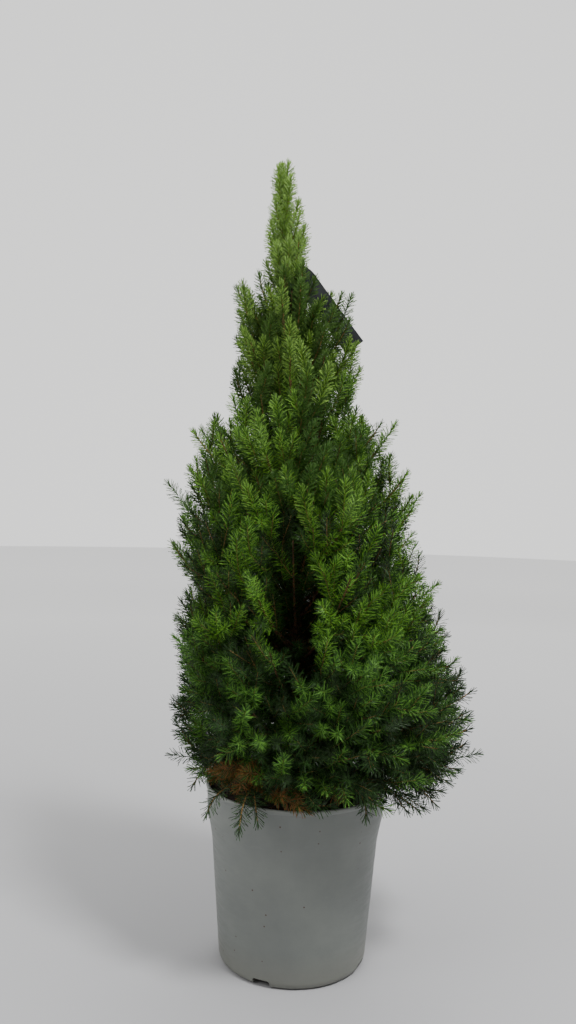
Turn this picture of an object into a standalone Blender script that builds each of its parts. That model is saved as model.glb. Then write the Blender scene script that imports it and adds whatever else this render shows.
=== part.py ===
"""A dwarf Alberta spruce in a round nursery pot, one solid for each sub-part. Metres, +Z up.

The origin is the middle of the pot's flat underside. +X is to the right of the front view, -Y faces the viewer.
"""

import math
import random

import bmesh
import bpy
from mathutils import Vector

# Pot: moulded polypropylene, tapered, with a wider collar and a rolled lip.
POT_HEIGHT = 0.220
POT_FOOT_RADIUS = 0.0925
POT_NECK_RADIUS = 0.1042
POT_NECK_HEIGHT = 0.152
POT_COLLAR_RADIUS = 0.1105
POT_COLLAR_HEIGHT = 0.184
POT_LIP_RADIUS = 0.1135
POT_LIP_DEPTH = 0.006
POT_WALL = 0.0022
POT_FLOOR = 0.0030
POT_CORNER = 0.007
POT_SEGMENTS = 40

# Drainage recesses: four, cut through the corner of the pot's foot.
DRAIN_COUNT = 4
DRAIN_AZIMUTH = 246.5
DRAIN_WIDTH = 0.022
DRAIN_HEIGHT = 0.009
DRAIN_DEPTH = 0.016

# Potting mix: fills the pot to just under the lip, mounded a little at the trunk.
SOIL_LEVEL = 0.2160
SOIL_EDGE_LEVEL = 0.2105
SOIL_SEGMENTS = 28
CLEARANCE = 0.0003
THINNEST = 0.0000015

# Trunk: from the mix to the foot of the leading shoot.
TRUNK_FOOT = SOIL_LEVEL + CLEARANCE
TRUNK_TOP = 0.868
TRUNK_FOOT_RADIUS = 0.0110
TRUNK_TOP_RADIUS = 0.0024
ROOT_FLARE = 0.0050
ROOT_FLARE_HEIGHT = 0.012
TRUNK_LEAN = -0.038
TRUNK_LEAN_POWER = 1.6
TRUNK_BEND = 0.0015
TRUNK_SIDES = 8
CROWN_TOP = 0.992

# Tiers of boughs, lowest first. Reach and tip height go evenly from a tier's right side to its left.
# name, count, first azimuth, foot, right reach, left reach, right tip, left tip, spray, share of bough
TIERS = (
    ("skirt", 5, 340, 0.242, 0.222, 0.160, 0.278, 0.262, 0.080, 0.26),
    ("low", 5, 16, 0.275, 0.230, 0.174, 0.340, 0.330, 0.084, 0.24),
    ("waist", 4, 30, 0.320, 0.212, 0.176, 0.410, 0.405, 0.086, 0.22),
    ("middle", 4, 340, 0.378, 0.180, 0.174, 0.480, 0.505, 0.084, 0.21),
    ("shoulder", 4, 22, 0.465, 0.170, 0.164, 0.580, 0.590, 0.078, 0.21),
    ("upper", 4, 340, 0.555, 0.130, 0.136, 0.664, 0.664, 0.070, 0.0),
    ("high", 3, 20, 0.625, 0.090, 0.072, 0.745, 0.768, 0.062, 0.0),
    ("top", 4, 350, 0.712, 0.070, 0.068, 0.826, 0.838, 0.055, 0.0),
)
DEPTH_SHARE = 0.90
KNEE_RISE = 0.30
BOUGH_FOOT_RADIUS = 0.0042
BOUGH_END_RADIUS = 0.0030
STEM_END_RADIUS = 0.0018

# Sprays: a slim three-sided core with a needle standing out of each face of each band.
BAND_LENGTH = 0.034
SPRAY_RADIUS = 0.0030
SPRAY_BARE = 0.011
SPRAY_SPACING = 0.0170
LEADER_SPACING = 0.0110
NEEDLE_LENGTH = 0.0220
NEEDLE_ANGLE = math.radians(46)
SPACE_MARGIN = 0.0008
LEADER_SPRAY = 0.042
SPREAD_FOOT = math.radians(68)
SPREAD_TIP = math.radians(34)
LEADER_SPREAD = math.radians(27)
LIFT = 0.45
CORE_RADIUS = 0.028

# Linear base colours of the foliage, darker towards the foot of the crown.
GREENS = {
    "skirt": (0.022, 0.030, 0.008),
    "low": (0.028, 0.045, 0.010),
    "waist": (0.036, 0.058, 0.013),
    "middle": (0.044, 0.072, 0.016),
    "shoulder": (0.056, 0.088, 0.022),
    "upper": (0.070, 0.106, 0.030),
    "high": (0.086, 0.124, 0.040),
    "top": (0.104, 0.144, 0.052),
    "leader": (0.120, 0.164, 0.070),
}

# Plant tag: a bare black plastic blade, hanging down to the right behind the front shoots.
TAG_LENGTH = 0.110
TAG_WIDTH = 0.0274
TAG_THICKNESS = 0.0010
TAG_STRAP = 0.006
TAG_HEAD = Vector((-0.0073, 0.002, 0.855))
TAG_DOWN = Vector((0.637, 0.19, -0.771)).normalized()
TAG_SIDE = Vector((-0.771, 0.0, -0.637)).normalized()

GOLDEN_ANGLE = math.radians(137.508)
UP = Vector((0, 0, 1))
LAYOUT_SEED = 6
SEED = 11


def trunk_point(height):
    """The trunk's middle at a height. It leans to the left, more so towards the top."""
    share = max(0.0, (height - SOIL_LEVEL) / (CROWN_TOP - SOIL_LEVEL))
    bend = TRUNK_BEND * math.sin(13 * share)
    return Vector((TRUNK_LEAN * share**TRUNK_LEAN_POWER + bend, TRUNK_BEND * math.sin(9 * share), height))


def trunk_radius(height):
    """An even taper, with a flare over the lowest few centimetres."""
    share = max(0.0, (height - TRUNK_FOOT) / (TRUNK_TOP - TRUNK_FOOT))
    flare = ROOT_FLARE * math.exp(-(height - TRUNK_FOOT) / ROOT_FLARE_HEIGHT)
    return TRUNK_FOOT_RADIUS + (TRUNK_TOP_RADIUS - TRUNK_FOOT_RADIUS) * share**0.9 + flare


def material(name, colour, roughness, metallic=0.0):
    made = bpy.data.materials.new(name)
    made.use_nodes = True
    shader = made.node_tree.nodes["Principled BSDF"]
    shader.inputs["Base Color"].default_value = (*colour, 1)
    shader.inputs["Roughness"].default_value = roughness
    shader.inputs["Metallic"].default_value = metallic
    made.diffuse_color = (*colour, 1)
    return made


def new_object(name, points, faces, look=None):
    mesh = bpy.data.meshes.new(name)
    mesh.from_pydata([tuple(p) for p in points], [], faces)
    if look:
        mesh.materials.append(look)
    obj = bpy.data.objects.new(name, mesh)
    bpy.context.scene.collection.objects.link(obj)
    return obj


def helper(obj):
    """A cutter or a piece still to be joined: never rendered."""
    obj.hide_render = True
    obj.display_type = "WIRE"
    return obj


def boolean(obj, tool, operation):
    """Apply one exact Boolean with an object or a collection as its operand, then drop the operand."""
    step = obj.modifiers.new("boolean", "BOOLEAN")
    step.operation = operation
    step.solver = "EXACT"
    if isinstance(tool, bpy.types.Collection):
        step.operand_type = "COLLECTION"
        step.collection = tool
    else:
        step.object = tool
    bpy.context.view_layer.update()
    solved = bpy.data.meshes.new_from_object(obj.evaluated_get(bpy.context.evaluated_depsgraph_get()))
    obj.modifiers.remove(step)
    obj.data = solved
    solved.name = obj.name
    if isinstance(tool, bpy.types.Collection):
        for item in list(tool.objects):
            bpy.data.objects.remove(item)
        bpy.data.collections.remove(tool)
    else:
        bpy.data.objects.remove(tool)


def shells_of(shape):
    """The shape's faces, sorted into shells that hang together by edges of two faces. The largest is last."""
    shells = []
    seen = set()
    for start in shape.faces:
        if start in seen:
            continue
        shell = [start]
        seen.add(start)
        for face in shell:
            for edge in face.edges:
                for other in edge.link_faces:
                    if other not in seen:
                        seen.add(other)
                        shell.append(other)
        shells.append(shell)
    return sorted(shells, key=len)


def tidy(obj):
    """Weld points that fall together, where that leaves the surface closed, and keep the one main shell.

    True where the surface is closed and none of its triangles is a sliver.
    """
    for weld in (2e-5, 5e-6, 0.0):
        shape = bmesh.new()
        shape.from_mesh(obj.data)
        bmesh.ops.triangulate(shape, faces=shape.faces)
        if weld:
            bmesh.ops.remove_doubles(shape, verts=shape.verts, dist=weld)
            bmesh.ops.dissolve_degenerate(shape, edges=shape.edges, dist=weld / 2)
        for shell in shells_of(shape)[:-1]:
            bmesh.ops.delete(shape, geom=shell, context="FACES")
        closed = all(len(edge.link_faces) == 2 for edge in shape.edges)
        if closed or not weld:
            bmesh.ops.recalc_face_normals(shape, faces=shape.faces)
            shape.to_mesh(obj.data)
            thin = min(2 * f.calc_area() / max(e.calc_length() for e in f.edges) for f in shape.faces)
            shape.free()
            return closed and thin > THINNEST
        shape.free()


def frames(path):
    """Two unit directions across the path at each of its points, carried along without twist."""
    across = []
    side = None
    for i in range(len(path)):
        tangent = (path[min(i + 1, len(path) - 1)] - path[max(i - 1, 0)]).normalized()
        side = tangent.orthogonal() if side is None else side - tangent * side.dot(tangent)
        side.normalize()
        across.append((side, tangent.cross(side)))
    return across


def limb(name, path, radii, sides, look=None, level=False):
    """A closed tapering limb with flat ends, cut square to its course or level."""
    points = []
    across = [(Vector((1, 0, 0)), Vector((0, 1, 0)))] * len(path) if level else frames(path)
    for centre, (first, second), radius in zip(path, across, radii):
        for k in range(sides):
            angle = 2 * math.pi * k / sides
            points.append(centre + first * (radius * math.cos(angle)) + second * (radius * math.sin(angle)))
    faces = [tuple(reversed(range(sides)))]
    for i in range(len(path) - 1):
        for k in range(sides):
            n = (k + 1) % sides
            faces.append((i * sides + k, i * sides + n, (i + 1) * sides + n, (i + 1) * sides + k))
    last = (len(path) - 1) * sides
    faces.append(tuple(last + k for k in range(sides)))
    return new_object(name, points, faces, look)


def lathe(name, profile, segments, look, bumps=None):
    """A closed solid turned from a profile that starts and ends on the axis."""
    points = [Vector((0, 0, profile[0][1]))]
    for ring, (radius, height) in enumerate(profile[1:-1]):
        for k in range(segments):
            angle = 2 * math.pi * k / segments
            lift = bumps(ring) if bumps else 0.0
            points.append(Vector((radius * math.cos(angle), radius * math.sin(angle), height + lift)))
    points.append(Vector((0, 0, profile[-1][1])))
    rings = len(profile) - 2
    faces = []
    for k in range(segments):
        n = (k + 1) % segments
        faces.append((0, 1 + n, 1 + k))
        for i in range(rings - 1):
            low, high = 1 + i * segments, 1 + (i + 1) * segments
            faces.append((low + k, low + n, high + n, high + k))
        last = 1 + (rings - 1) * segments
        faces.append((last + k, last + n, len(points) - 1))
    return new_object(name, points, faces, look)


def nearest(point, path):
    """Distance from a point to a path, and how far along the path that falls, from 0 to 1."""
    best, place = 1e9, 0.0
    for i in range(len(path) - 1):
        start, run = path[i], path[i + 1] - path[i]
        share = min(1.0, max(0.0, (point - start).dot(run) / run.length_squared))
        gap = (point - start - run * share).length
        if gap < best:
            best, place = gap, (i + share) / (len(path) - 1)
    return best, place


def pot_outline(height):
    """The pot's outer radius at a height."""
    stations = (
        (0.0, POT_FOOT_RADIUS),
        (POT_NECK_HEIGHT, POT_NECK_RADIUS),
        (POT_COLLAR_HEIGHT, POT_COLLAR_RADIUS),
        (POT_HEIGHT - POT_LIP_DEPTH, POT_LIP_RADIUS - 0.0015),
        (POT_HEIGHT, POT_LIP_RADIUS),
    )
    for (low, first), (high, second) in zip(stations, stations[1:]):
        if height <= high:
            return first + (second - first) * max(0.0, height - low) / (high - low)
    return POT_LIP_RADIUS


for item in list(bpy.data.objects):
    bpy.data.objects.remove(item)

POT_LOOK = material("pot_polypropylene", (0.145, 0.152, 0.143), 0.50)
SOIL_LOOK = material("potting_mix", (0.030, 0.018, 0.012), 0.95)
BARK_LOOK = material("trunk_bark", (0.150, 0.078, 0.036), 0.85)
TAG_LOOK = material("tag_plastic", (0.012, 0.012, 0.014), 0.35)
rng = random.Random(SEED)

# Pot
top = POT_HEIGHT
inner_top = POT_LIP_RADIUS - POT_WALL - 0.0012
pot = lathe(
    "pot",
    (
        (0, 0.0),
        (POT_FOOT_RADIUS - POT_CORNER, 0.0),
        (POT_FOOT_RADIUS - POT_CORNER * 0.29, POT_CORNER * 0.29),
        (POT_FOOT_RADIUS, POT_CORNER),
        (POT_NECK_RADIUS, POT_NECK_HEIGHT),
        (POT_NECK_RADIUS + 0.0028, 0.5 * (POT_NECK_HEIGHT + POT_COLLAR_HEIGHT)),
        (POT_COLLAR_RADIUS, POT_COLLAR_HEIGHT),
        (POT_LIP_RADIUS - 0.0018, top - POT_LIP_DEPTH),
        (POT_LIP_RADIUS, top - POT_LIP_DEPTH * 0.7),
        (POT_LIP_RADIUS, top - 0.0012),
        (POT_LIP_RADIUS - 0.0012, top),
        (inner_top, top - 0.0004),
        (POT_COLLAR_RADIUS - POT_WALL, POT_COLLAR_HEIGHT),
        (POT_NECK_RADIUS - POT_WALL, POT_NECK_HEIGHT),
        (POT_FOOT_RADIUS - POT_WALL, POT_CORNER + POT_FLOOR),
        (POT_FOOT_RADIUS - POT_CORNER, POT_FLOOR),
        (0, POT_FLOOR),
    ),
    POT_SEGMENTS,
    POT_LOOK,
)
for number in range(DRAIN_COUNT):
    turn = math.radians(DRAIN_AZIMUTH + 360 * number / DRAIN_COUNT)
    out = Vector((math.cos(turn), math.sin(turn), 0))
    side = Vector((-out.y, out.x, 0))
    corners = []
    for height in (-0.002, DRAIN_HEIGHT):
        for reach, half in ((0.5, 1), (0.5, -1), (-0.5, -1), (-0.5, 1)):
            middle = out * (POT_FOOT_RADIUS + 0.002 - DRAIN_DEPTH / 2 + reach * (DRAIN_DEPTH + 0.004))
            corners.append(middle + side * (half * DRAIN_WIDTH / 2) + UP * height)
    faces = ((0, 1, 2, 3), (7, 6, 5, 4), (0, 4, 5, 1), (1, 5, 6, 2), (2, 6, 7, 3), (3, 7, 4, 0))
    cutter = helper(new_object("drain_cutter", corners, faces))
    boolean(pot, cutter, "DIFFERENCE")
tidy(pot)

# Potting mix
gap = 0.0006
soil = lathe(
    "soil",
    (
        (0, POT_FLOOR + gap),
        (POT_FOOT_RADIUS - POT_CORNER - 0.001, POT_FLOOR + gap),
        (POT_FOOT_RADIUS - POT_WALL - gap, POT_CORNER + POT_FLOOR + 0.001),
        (POT_NECK_RADIUS - POT_WALL - gap, POT_NECK_HEIGHT),
        (POT_COLLAR_RADIUS - POT_WALL - gap - 0.0002, POT_COLLAR_HEIGHT + 0.001),
        (inner_top - gap - 0.0006, SOIL_EDGE_LEVEL),
        (0.088, SOIL_EDGE_LEVEL + 0.002),
        (0.055, SOIL_LEVEL - 0.0015),
        (0.022, SOIL_LEVEL),
        (0, SOIL_LEVEL),
    ),
    SOIL_SEGMENTS,
    SOIL_LOOK,
    lambda ring: rng.uniform(-0.0016, 0.0012) if ring in (5, 6) else 0.0,
)

# Trunk
heights = [TRUNK_FOOT + h for h in (0, 0.006, 0.016, 0.036)]
steps = 10
heights += [heights[-1] + (TRUNK_TOP - heights[-1]) * k / steps for k in range(1, steps + 1)]
trunk_path = [trunk_point(h) for h in heights]
trunk_radii = [trunk_radius(h) for h in heights]
trunk = limb("trunk", trunk_path, trunk_radii, TRUNK_SIDES, BARK_LOOK, level=True)


def trunk_cutter():
    """The trunk grown by the clearance, to cut the limbs that stand on it."""
    share = 1 / math.cos(math.pi / TRUNK_SIDES)
    radii = [(radius + CLEARANCE) * share for radius in trunk_radii]
    path = [trunk_path[0] - UP * 0.02] + trunk_path[1:-1] + [trunk_path[-1] + UP * CLEARANCE]
    return helper(limb("trunk_cutter", path, radii, TRUNK_SIDES, level=True))


def blend(right, left, azimuth):
    return (right + left) / 2 + (right - left) / 2 * math.cos(azimuth)


def bough_path(row, number):
    """Foot, knee and tip of one bough of a tier, and the curve through them in eight steps."""
    name, count, first, foot, right, left, right_tip, left_tip, spray, share = row
    azimuth = math.radians(first + 360 * number / count + layout.uniform(-5, 5))
    reach = blend(right, left, azimuth) * (1 - (1 - DEPTH_SHARE) * math.sin(azimuth) ** 2)
    reach *= layout.uniform(0.97, 1.03)
    height = blend(right_tip, left_tip, azimuth) + layout.uniform(-0.006, 0.006)
    start = trunk_point(foot + layout.uniform(-0.008, 0.008))
    out = Vector((math.cos(azimuth), math.sin(azimuth), 0))
    rise = height - start.z
    knee = start + out * (0.62 * reach) + UP * (KNEE_RISE * rise)
    tip = start + out * reach + UP * rise
    path = []
    for i in range(9):
        t = i / 8
        path.append(start * (1 - t) ** 2 + knee * (2 * t * (1 - t)) + tip * t**2)
    return path


def along(path, share):
    """The point at a share of a path's steps, and the direction there."""
    place = min(len(path) - 1 - 1e-9, max(0.0, share * (len(path) - 1)))
    i = int(place)
    run = path[i + 1] - path[i]
    return path[i] + run * (place - i), run.normalized()


TAG_FACE = TAG_DOWN.cross(TAG_SIDE).normalized()
LOOP_CENTRE = trunk_point(0.8625)
LOOP_RADIUS = 0.0105
layout = random.Random(LAYOUT_SEED)
plans = []
for row in TIERS:
    for number in range(row[1]):
        plans.append((row[0], number + 1, bough_path(row, number), row[8], row[9]))
leader_foot = trunk_point(TRUNK_TOP) + UP * CLEARANCE
leader_path = [leader_foot + (trunk_point(CROWN_TOP) - leader_foot) * (i / 8) for i in range(9)]
plans.append(("leader", 0, leader_path, LEADER_SPRAY, 0.0))

# Boughs: one tapering limb each, from the trunk to where its foliage starts
boughs = []
for name, number, path, spray, share in plans:
    if share == 0.0:
        continue
    course = [along(path, share * k / 3)[0] for k in range(4)]
    radii = [BOUGH_FOOT_RADIUS + (BOUGH_END_RADIUS - BOUGH_FOOT_RADIUS) * k / 3 for k in range(4)]
    radii[0] *= 1.25
    bough = limb(f"{name}_bough_{number}", course, radii, 5, BARK_LOOK)
    boolean(bough, trunk_cutter(), "DIFFERENCE")
    tidy(bough)
    boughs.append((course, radii))


def tag_clear(point, margin):
    """True where a point is clear of the plant tag's blade and of its loop."""
    local = point - TAG_HEAD
    along_blade, across, off = local.dot(TAG_DOWN), local.dot(TAG_SIDE), local.dot(TAG_FACE)
    on_blade = -0.012 < along_blade < TAG_LENGTH + margin and abs(across) < TAG_WIDTH / 2 + margin
    if on_blade and abs(off) < 0.0022 + margin:
        return False
    ring = point - LOOP_CENTRE
    flat = math.hypot(ring.x, ring.y)
    return not (abs(ring.z) < TAG_STRAP / 2 + margin and abs(flat - LOOP_RADIUS) < 0.0016 + margin)


def room(point, own, margin):
    """True where a point lies in a mass's own space, clear of limbs, pot, mix and tag."""
    flat = math.hypot(point.x, point.y)
    if flat < POT_LIP_RADIUS + margin + 0.003 and point.z < POT_HEIGHT + margin + 0.002:
        return False
    if point.z > 0.70 and not tag_clear(point, margin + 0.001):
        return False
    gap, place = nearest(point, trunk_path)
    height = TRUNK_FOOT + (TRUNK_TOP - TRUNK_FOOT) * place
    if abs(point.z - height) < 0.05 and gap < trunk_radius(max(TRUNK_FOOT, point.z)) + margin:
        return False
    for course, radii in boughs:
        if (point - course[2]).length < 0.09:
            gap, place = nearest(point, course)
            if gap < radii[0] + (radii[-1] - radii[0]) * place + margin:
                return False
    mine = nearest(point, plans[own][2])[0]
    for other, plan in enumerate(plans):
        if other == own or (point - plan[2][4]).length > 0.30:
            continue
        if nearest(point, plan[2])[0] < mine + 2 * margin:
            return False
    return True


def spray(root, axis, length, own):
    """Points and faces of one spray: a pointed root, bands of six needles and a tip. None where there is no room."""
    bands = max(2, round((length - SPRAY_BARE) / BAND_LENGTH))
    step = (length - SPRAY_BARE) / bands
    for k in range(1, 7):
        if not room(root + axis * (SPRAY_BARE + (length - SPRAY_BARE) * k / 6), own, SPRAY_RADIUS + SPACE_MARGIN):
            return None
    long = NEEDLE_LENGTH * min(1.0, length / 0.075) ** 0.7
    first = axis.orthogonal().normalized()
    second = axis.cross(first)
    turn = rng.uniform(0, 2 * math.pi)
    points = [root - axis * 0.0012]
    for i in range(bands + 1):
        radius = SPRAY_RADIUS * (1 - 0.35 * i / bands)
        for k in range(3):
            angle = turn + (k + 0.5 * (i % 2)) * 2 * math.pi / 3
            middle = root + axis * (SPRAY_BARE + step * i)
            points.append(middle + (first * math.cos(angle) + second * math.sin(angle)) * radius)
    faces = []

    def at(i, k):
        return 1 + i * 3 + k % 3

    for k in range(3):
        faces.append((0, at(0, k + 1), at(0, k)))
    needles = 0
    for i in range(bands):
        for k in range(3):
            if i % 2 == 0:
                pair = (at(i, k), at(i, k + 1), at(i + 1, k)), (at(i + 1, k), at(i, k + 1), at(i + 1, k + 1))
            else:
                pair = (at(i, k), at(i, k + 1), at(i + 1, k + 1)), (at(i + 1, k), at(i, k), at(i + 1, k + 1))
            for face in pair:
                middle = (points[face[0]] + points[face[1]] + points[face[2]]) / 3
                out = middle - root - axis * (middle - root).dot(axis)
                out.normalize()
                needle = (out * math.sin(NEEDLE_ANGLE) + axis * math.cos(NEEDLE_ANGLE)) * long
                end = middle + needle * rng.uniform(0.85, 1.15)
                if room(end, own, SPACE_MARGIN) and room((middle + end) / 2, own, SPACE_MARGIN):
                    points.append(end)
                    needles += 1
                    last = len(points) - 1
                    faces += [(face[0], face[1], last), (face[1], face[2], last), (face[2], face[0], last)]
                else:
                    faces.append(face)
    if needles < 3 * bands:
        return None
    end = root + axis * (length + NEEDLE_LENGTH * 0.6)
    if not room(end, own, SPACE_MARGIN):
        end = root + axis * (length + 0.002)
    points.append(end)
    for k in range(3):
        faces.append((at(bands, k), at(bands, k + 1), len(points) - 1))
    return points, faces


def stem_course(path, share):
    """A mass's stem: it sets out square from the end of its bough, or from inside the trunk."""
    first, heading = along(path, share)
    if share > 0:
        first = first + heading * CLEARANCE
        return [first, first + heading * 0.006] + [along(path, share + (1 - share) * k / 12)[0] for k in range(2, 13)]
    return [along(path, k / 12)[0] for k in range(13)]


def shorten(path, length):
    """The path cut back by a length from its far end."""
    path = list(path)
    while len(path) > 2 and (path[-1] - path[-2]).length <= length:
        length -= (path[-1] - path[-2]).length
        path.pop()
    run = path[-1] - path[-2]
    path[-1] = path[-1] - run.normalized() * min(length, run.length * 0.9)
    return path


def simple(path, count):
    """The same course in fewer steps, its first step kept."""
    return [path[0], path[1]] + [along(path, k / count)[0] for k in range(1, count + 1) if k / count * (len(path) - 1) > 1.2]


def add_sprays(stem, length, own, pieces):
    """Sprays round a stem, each turned by the golden angle from the last. They lean in and shorten to the tip."""
    total = sum((b - a).length for a, b in zip(stem, stem[1:]))
    leading = own == len(plans) - 1
    count = max(4, round(total / (LEADER_SPACING if leading else SPRAY_SPACING)))
    turn = rng.uniform(0, 2 * math.pi)
    for i in range(count):
        share = (i + 0.7) / (count + 0.2)
        root, heading = along(stem, share)
        if nearest(root, trunk_path)[0] < 0.012 and not leading:
            continue
        first = heading.orthogonal().normalized()
        second = heading.cross(first)
        size = length * (1.1 - 0.5 * share if leading else 1.05 - 0.25 * share)
        lean = LEADER_SPREAD if leading else SPREAD_FOOT + (SPREAD_TIP - SPREAD_FOOT) * share
        for trial, (swing, shrink) in enumerate(((0, 1), (50, 0.92), (-50, 0.92), (100, 0.8), (-100, 0.8), (0, 0.66))):
            angle = turn + i * GOLDEN_ANGLE + math.radians(swing)
            out = first * math.cos(angle) + second * math.sin(angle)
            axis = (heading * math.cos(lean) + out * math.sin(lean) + UP * LIFT).normalized()
            made = spray(root, axis, size * shrink, own)
            if made:
                pieces.append(made)
                break


def core(stem, own, size):
    """A slim four-sided core round the stem, kept to the mass's own space. None where there is no room."""
    start = 0.03
    while start < 0.6 and nearest(along(stem, start)[0], trunk_path)[0] < trunk_radius(stem[0].z) + 0.006:
        start += 0.05
    path = [along(stem, start + (1 - start) * share)[0] for share in (0.0, 0.22, 0.70, 1.0)]
    radii = [0.0040, CORE_RADIUS * size, CORE_RADIUS * size * 0.8, 0.0030]
    for i in (1, 2):
        for k in range(4):
            first, second = frames(path)[i]
            angle = k * math.pi / 2
            out = first * math.cos(angle) + second * math.sin(angle)
            while radii[i] > 0.004 and not room(path[i] + out * radii[i], own, SPACE_MARGIN):
                radii[i] *= 0.85
    return helper(limb("core", path, radii, 4)) if max(radii) > 0.005 else None


def foliage(own):
    """One mass: a stem with its core, and the sprays that stand out of it, joined in one solid."""
    name, number, path, length, share = plans[own]
    label = "leader_foliage" if name == "leader" else f"{name}_foliage_{number}"
    course = stem_course(path, share)
    stem = simple(shorten(course, length * 0.95), 3)
    radii = [BOUGH_END_RADIUS + (STEM_END_RADIUS - BOUGH_END_RADIUS) * k / (len(stem) - 1) for k in range(len(stem))]
    if name == "leader":
        radii = [TRUNK_TOP_RADIUS * r / radii[0] for r in radii]
    mass = limb(label, stem, radii, 3, material(label, GREENS[name], 0.62))
    pieces = []
    tip = path[-1]
    heading = (tip - stem[-1]).normalized()
    root = stem[-1] - heading * 0.003
    reach = (tip - root).length - NEEDLE_LENGTH * 0.6
    made = spray(root, heading, reach, own) or spray(root, heading, reach * 0.8, own)
    if made:
        pieces.append(made)
    add_sprays(stem, length, own, pieces)
    group = bpy.data.collections.new("sprays")
    bpy.context.scene.collection.children.link(group)
    middle = core(stem, own, length / 0.08) if name != "leader" else None
    if middle:
        bpy.context.scene.collection.objects.unlink(middle)
        group.objects.link(middle)
    for points, faces in pieces:
        piece = helper(new_object("spray", points, faces))
        bpy.context.scene.collection.objects.unlink(piece)
        group.objects.link(piece)
    boolean(mass, group, "UNION")
    if share == 0.0 and name != "leader":
        boolean(mass, trunk_cutter(), "DIFFERENCE")
    return tidy(mass), mass


for own in range(len(plans)):
    sound, mass = foliage(own)
    while not sound:
        bpy.data.materials.remove(mass.data.materials[0])
        bpy.data.objects.remove(mass)
        sound, mass = foliage(own)

# Plant tag: a bare black plastic blade whose strap is looped round the leading shoot
outline = (
    (-0.0165, -0.0005), (-0.0120, -0.0060), (-0.0070, -0.0105), (-0.0010, -0.0131), (0.0040, -0.0137),
    (TAG_LENGTH, -0.0137), (TAG_LENGTH, 0.0137), (0.0090, 0.0137), (0.0010, 0.0122), (-0.0060, 0.0085),
    (-0.0165, 0.0050),
)
count = len(outline)
points = []
for side in (1, -1):
    for down, across in outline:
        points.append(TAG_HEAD + TAG_DOWN * down + TAG_SIDE * across + TAG_FACE * (side * TAG_THICKNESS / 2))
faces = [tuple(range(count)), tuple(reversed(range(count, 2 * count)))]
for k in range(count):
    n = (k + 1) % count
    faces.append((n, k, count + k, count + n))
tag = new_object("plant_tag", points, faces, TAG_LOOK)
turned = bmesh.new()
turned.from_mesh(tag.data)
bmesh.ops.recalc_face_normals(turned, faces=turned.faces)
turned.to_mesh(tag.data)
turned.free()
points, faces = [], []
sides = 20
for k in range(sides):
    angle = 2 * math.pi * k / sides
    out = Vector((math.cos(angle), math.sin(angle), 0))
    for radius, height in ((-0.5, -0.5), (0.5, -0.5), (0.5, 0.5), (-0.5, 0.5)):
        points.append(LOOP_CENTRE + out * (LOOP_RADIUS + radius * TAG_THICKNESS) + UP * (height * TAG_STRAP))
for k in range(sides):
    n = (k + 1) % sides
    for c in range(4):
        d = (c + 1) % 4
        faces.append((4 * k + c, 4 * n + c, 4 * n + d, 4 * k + d))
loop = helper(new_object("loop", points, faces))
shape = bmesh.new()
shape.from_mesh(loop.data)
bmesh.ops.recalc_face_normals(shape, faces=shape.faces)
shape.to_mesh(loop.data)
shape.free()
boolean(tag, loop, "UNION")
tidy(tag)
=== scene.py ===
"""A dwarf Alberta spruce in a round nursery pot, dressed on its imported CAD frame. Metres, +Z up, -Y to the viewer."""

import math
import random

import bmesh
import bpy
from mathutils import Matrix, Vector, noise


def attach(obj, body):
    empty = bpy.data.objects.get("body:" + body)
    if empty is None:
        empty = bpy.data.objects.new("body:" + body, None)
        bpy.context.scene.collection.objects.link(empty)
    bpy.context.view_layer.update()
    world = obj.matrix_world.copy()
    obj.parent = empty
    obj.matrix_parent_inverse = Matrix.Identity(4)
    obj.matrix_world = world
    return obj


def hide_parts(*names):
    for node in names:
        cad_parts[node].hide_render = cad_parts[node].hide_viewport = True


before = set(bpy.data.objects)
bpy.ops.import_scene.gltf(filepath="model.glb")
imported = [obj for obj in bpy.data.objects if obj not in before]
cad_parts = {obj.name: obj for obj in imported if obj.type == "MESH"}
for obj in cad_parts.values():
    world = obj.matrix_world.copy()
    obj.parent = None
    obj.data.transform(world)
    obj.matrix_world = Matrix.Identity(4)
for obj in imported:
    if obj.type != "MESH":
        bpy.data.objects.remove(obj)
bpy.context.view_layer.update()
UP = Vector((0, 0, 1))

# Nursery pot
# A round pot, injection moulded in grey-green polypropylene, with a wider collar and a rolled lip.
# Its foot has four drainage recesses cut through the corner, and it stands free on its flat underside.
POT_HEIGHT = 0.220
POT_FOOT_RADIUS = 0.0925
POT_NECK_RADIUS = 0.1042
POT_NECK_HEIGHT = 0.152
POT_COLLAR_RADIUS = 0.1105
POT_COLLAR_HEIGHT = 0.184
POT_LIP_RADIUS = 0.1135
POT_LIP_DEPTH = 0.006
POT_WALL = 0.0022
POT_FLOOR = 0.0030
POT_CORNER = 0.007
POT_INNER_TOP = POT_LIP_RADIUS - POT_WALL - 0.0012
POT_SEGMENTS = 144
DRAIN_COUNT = 4
DRAIN_AZIMUTH = 246.5
DRAIN_WIDTH = 0.022
DRAIN_HEIGHT = 0.009
DRAIN_DEPTH = 0.016


def linear(code):
    """An sRGB hex colour as the linear colour with alpha that a shader takes."""
    parts = [int(code[i : i + 2], 16) / 255 for i in (1, 3, 5)]
    return (*[c / 12.92 if c <= 0.04045 else ((c + 0.055) / 1.055) ** 2.4 for c in parts], 1.0)


def add(tree, kind, inputs=None, **settings):
    """Add one node. Settings are its own properties. Inputs go by name or place, and hold a value or a socket to link."""
    node = tree.nodes.new(kind)
    for name, value in settings.items():
        setattr(node, name, value)
    for place, value in (inputs or {}).items():
        if isinstance(value, bpy.types.NodeSocket):
            tree.links.new(value, node.inputs[place])
        else:
            node.inputs[place].default_value = value
    return node


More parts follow.
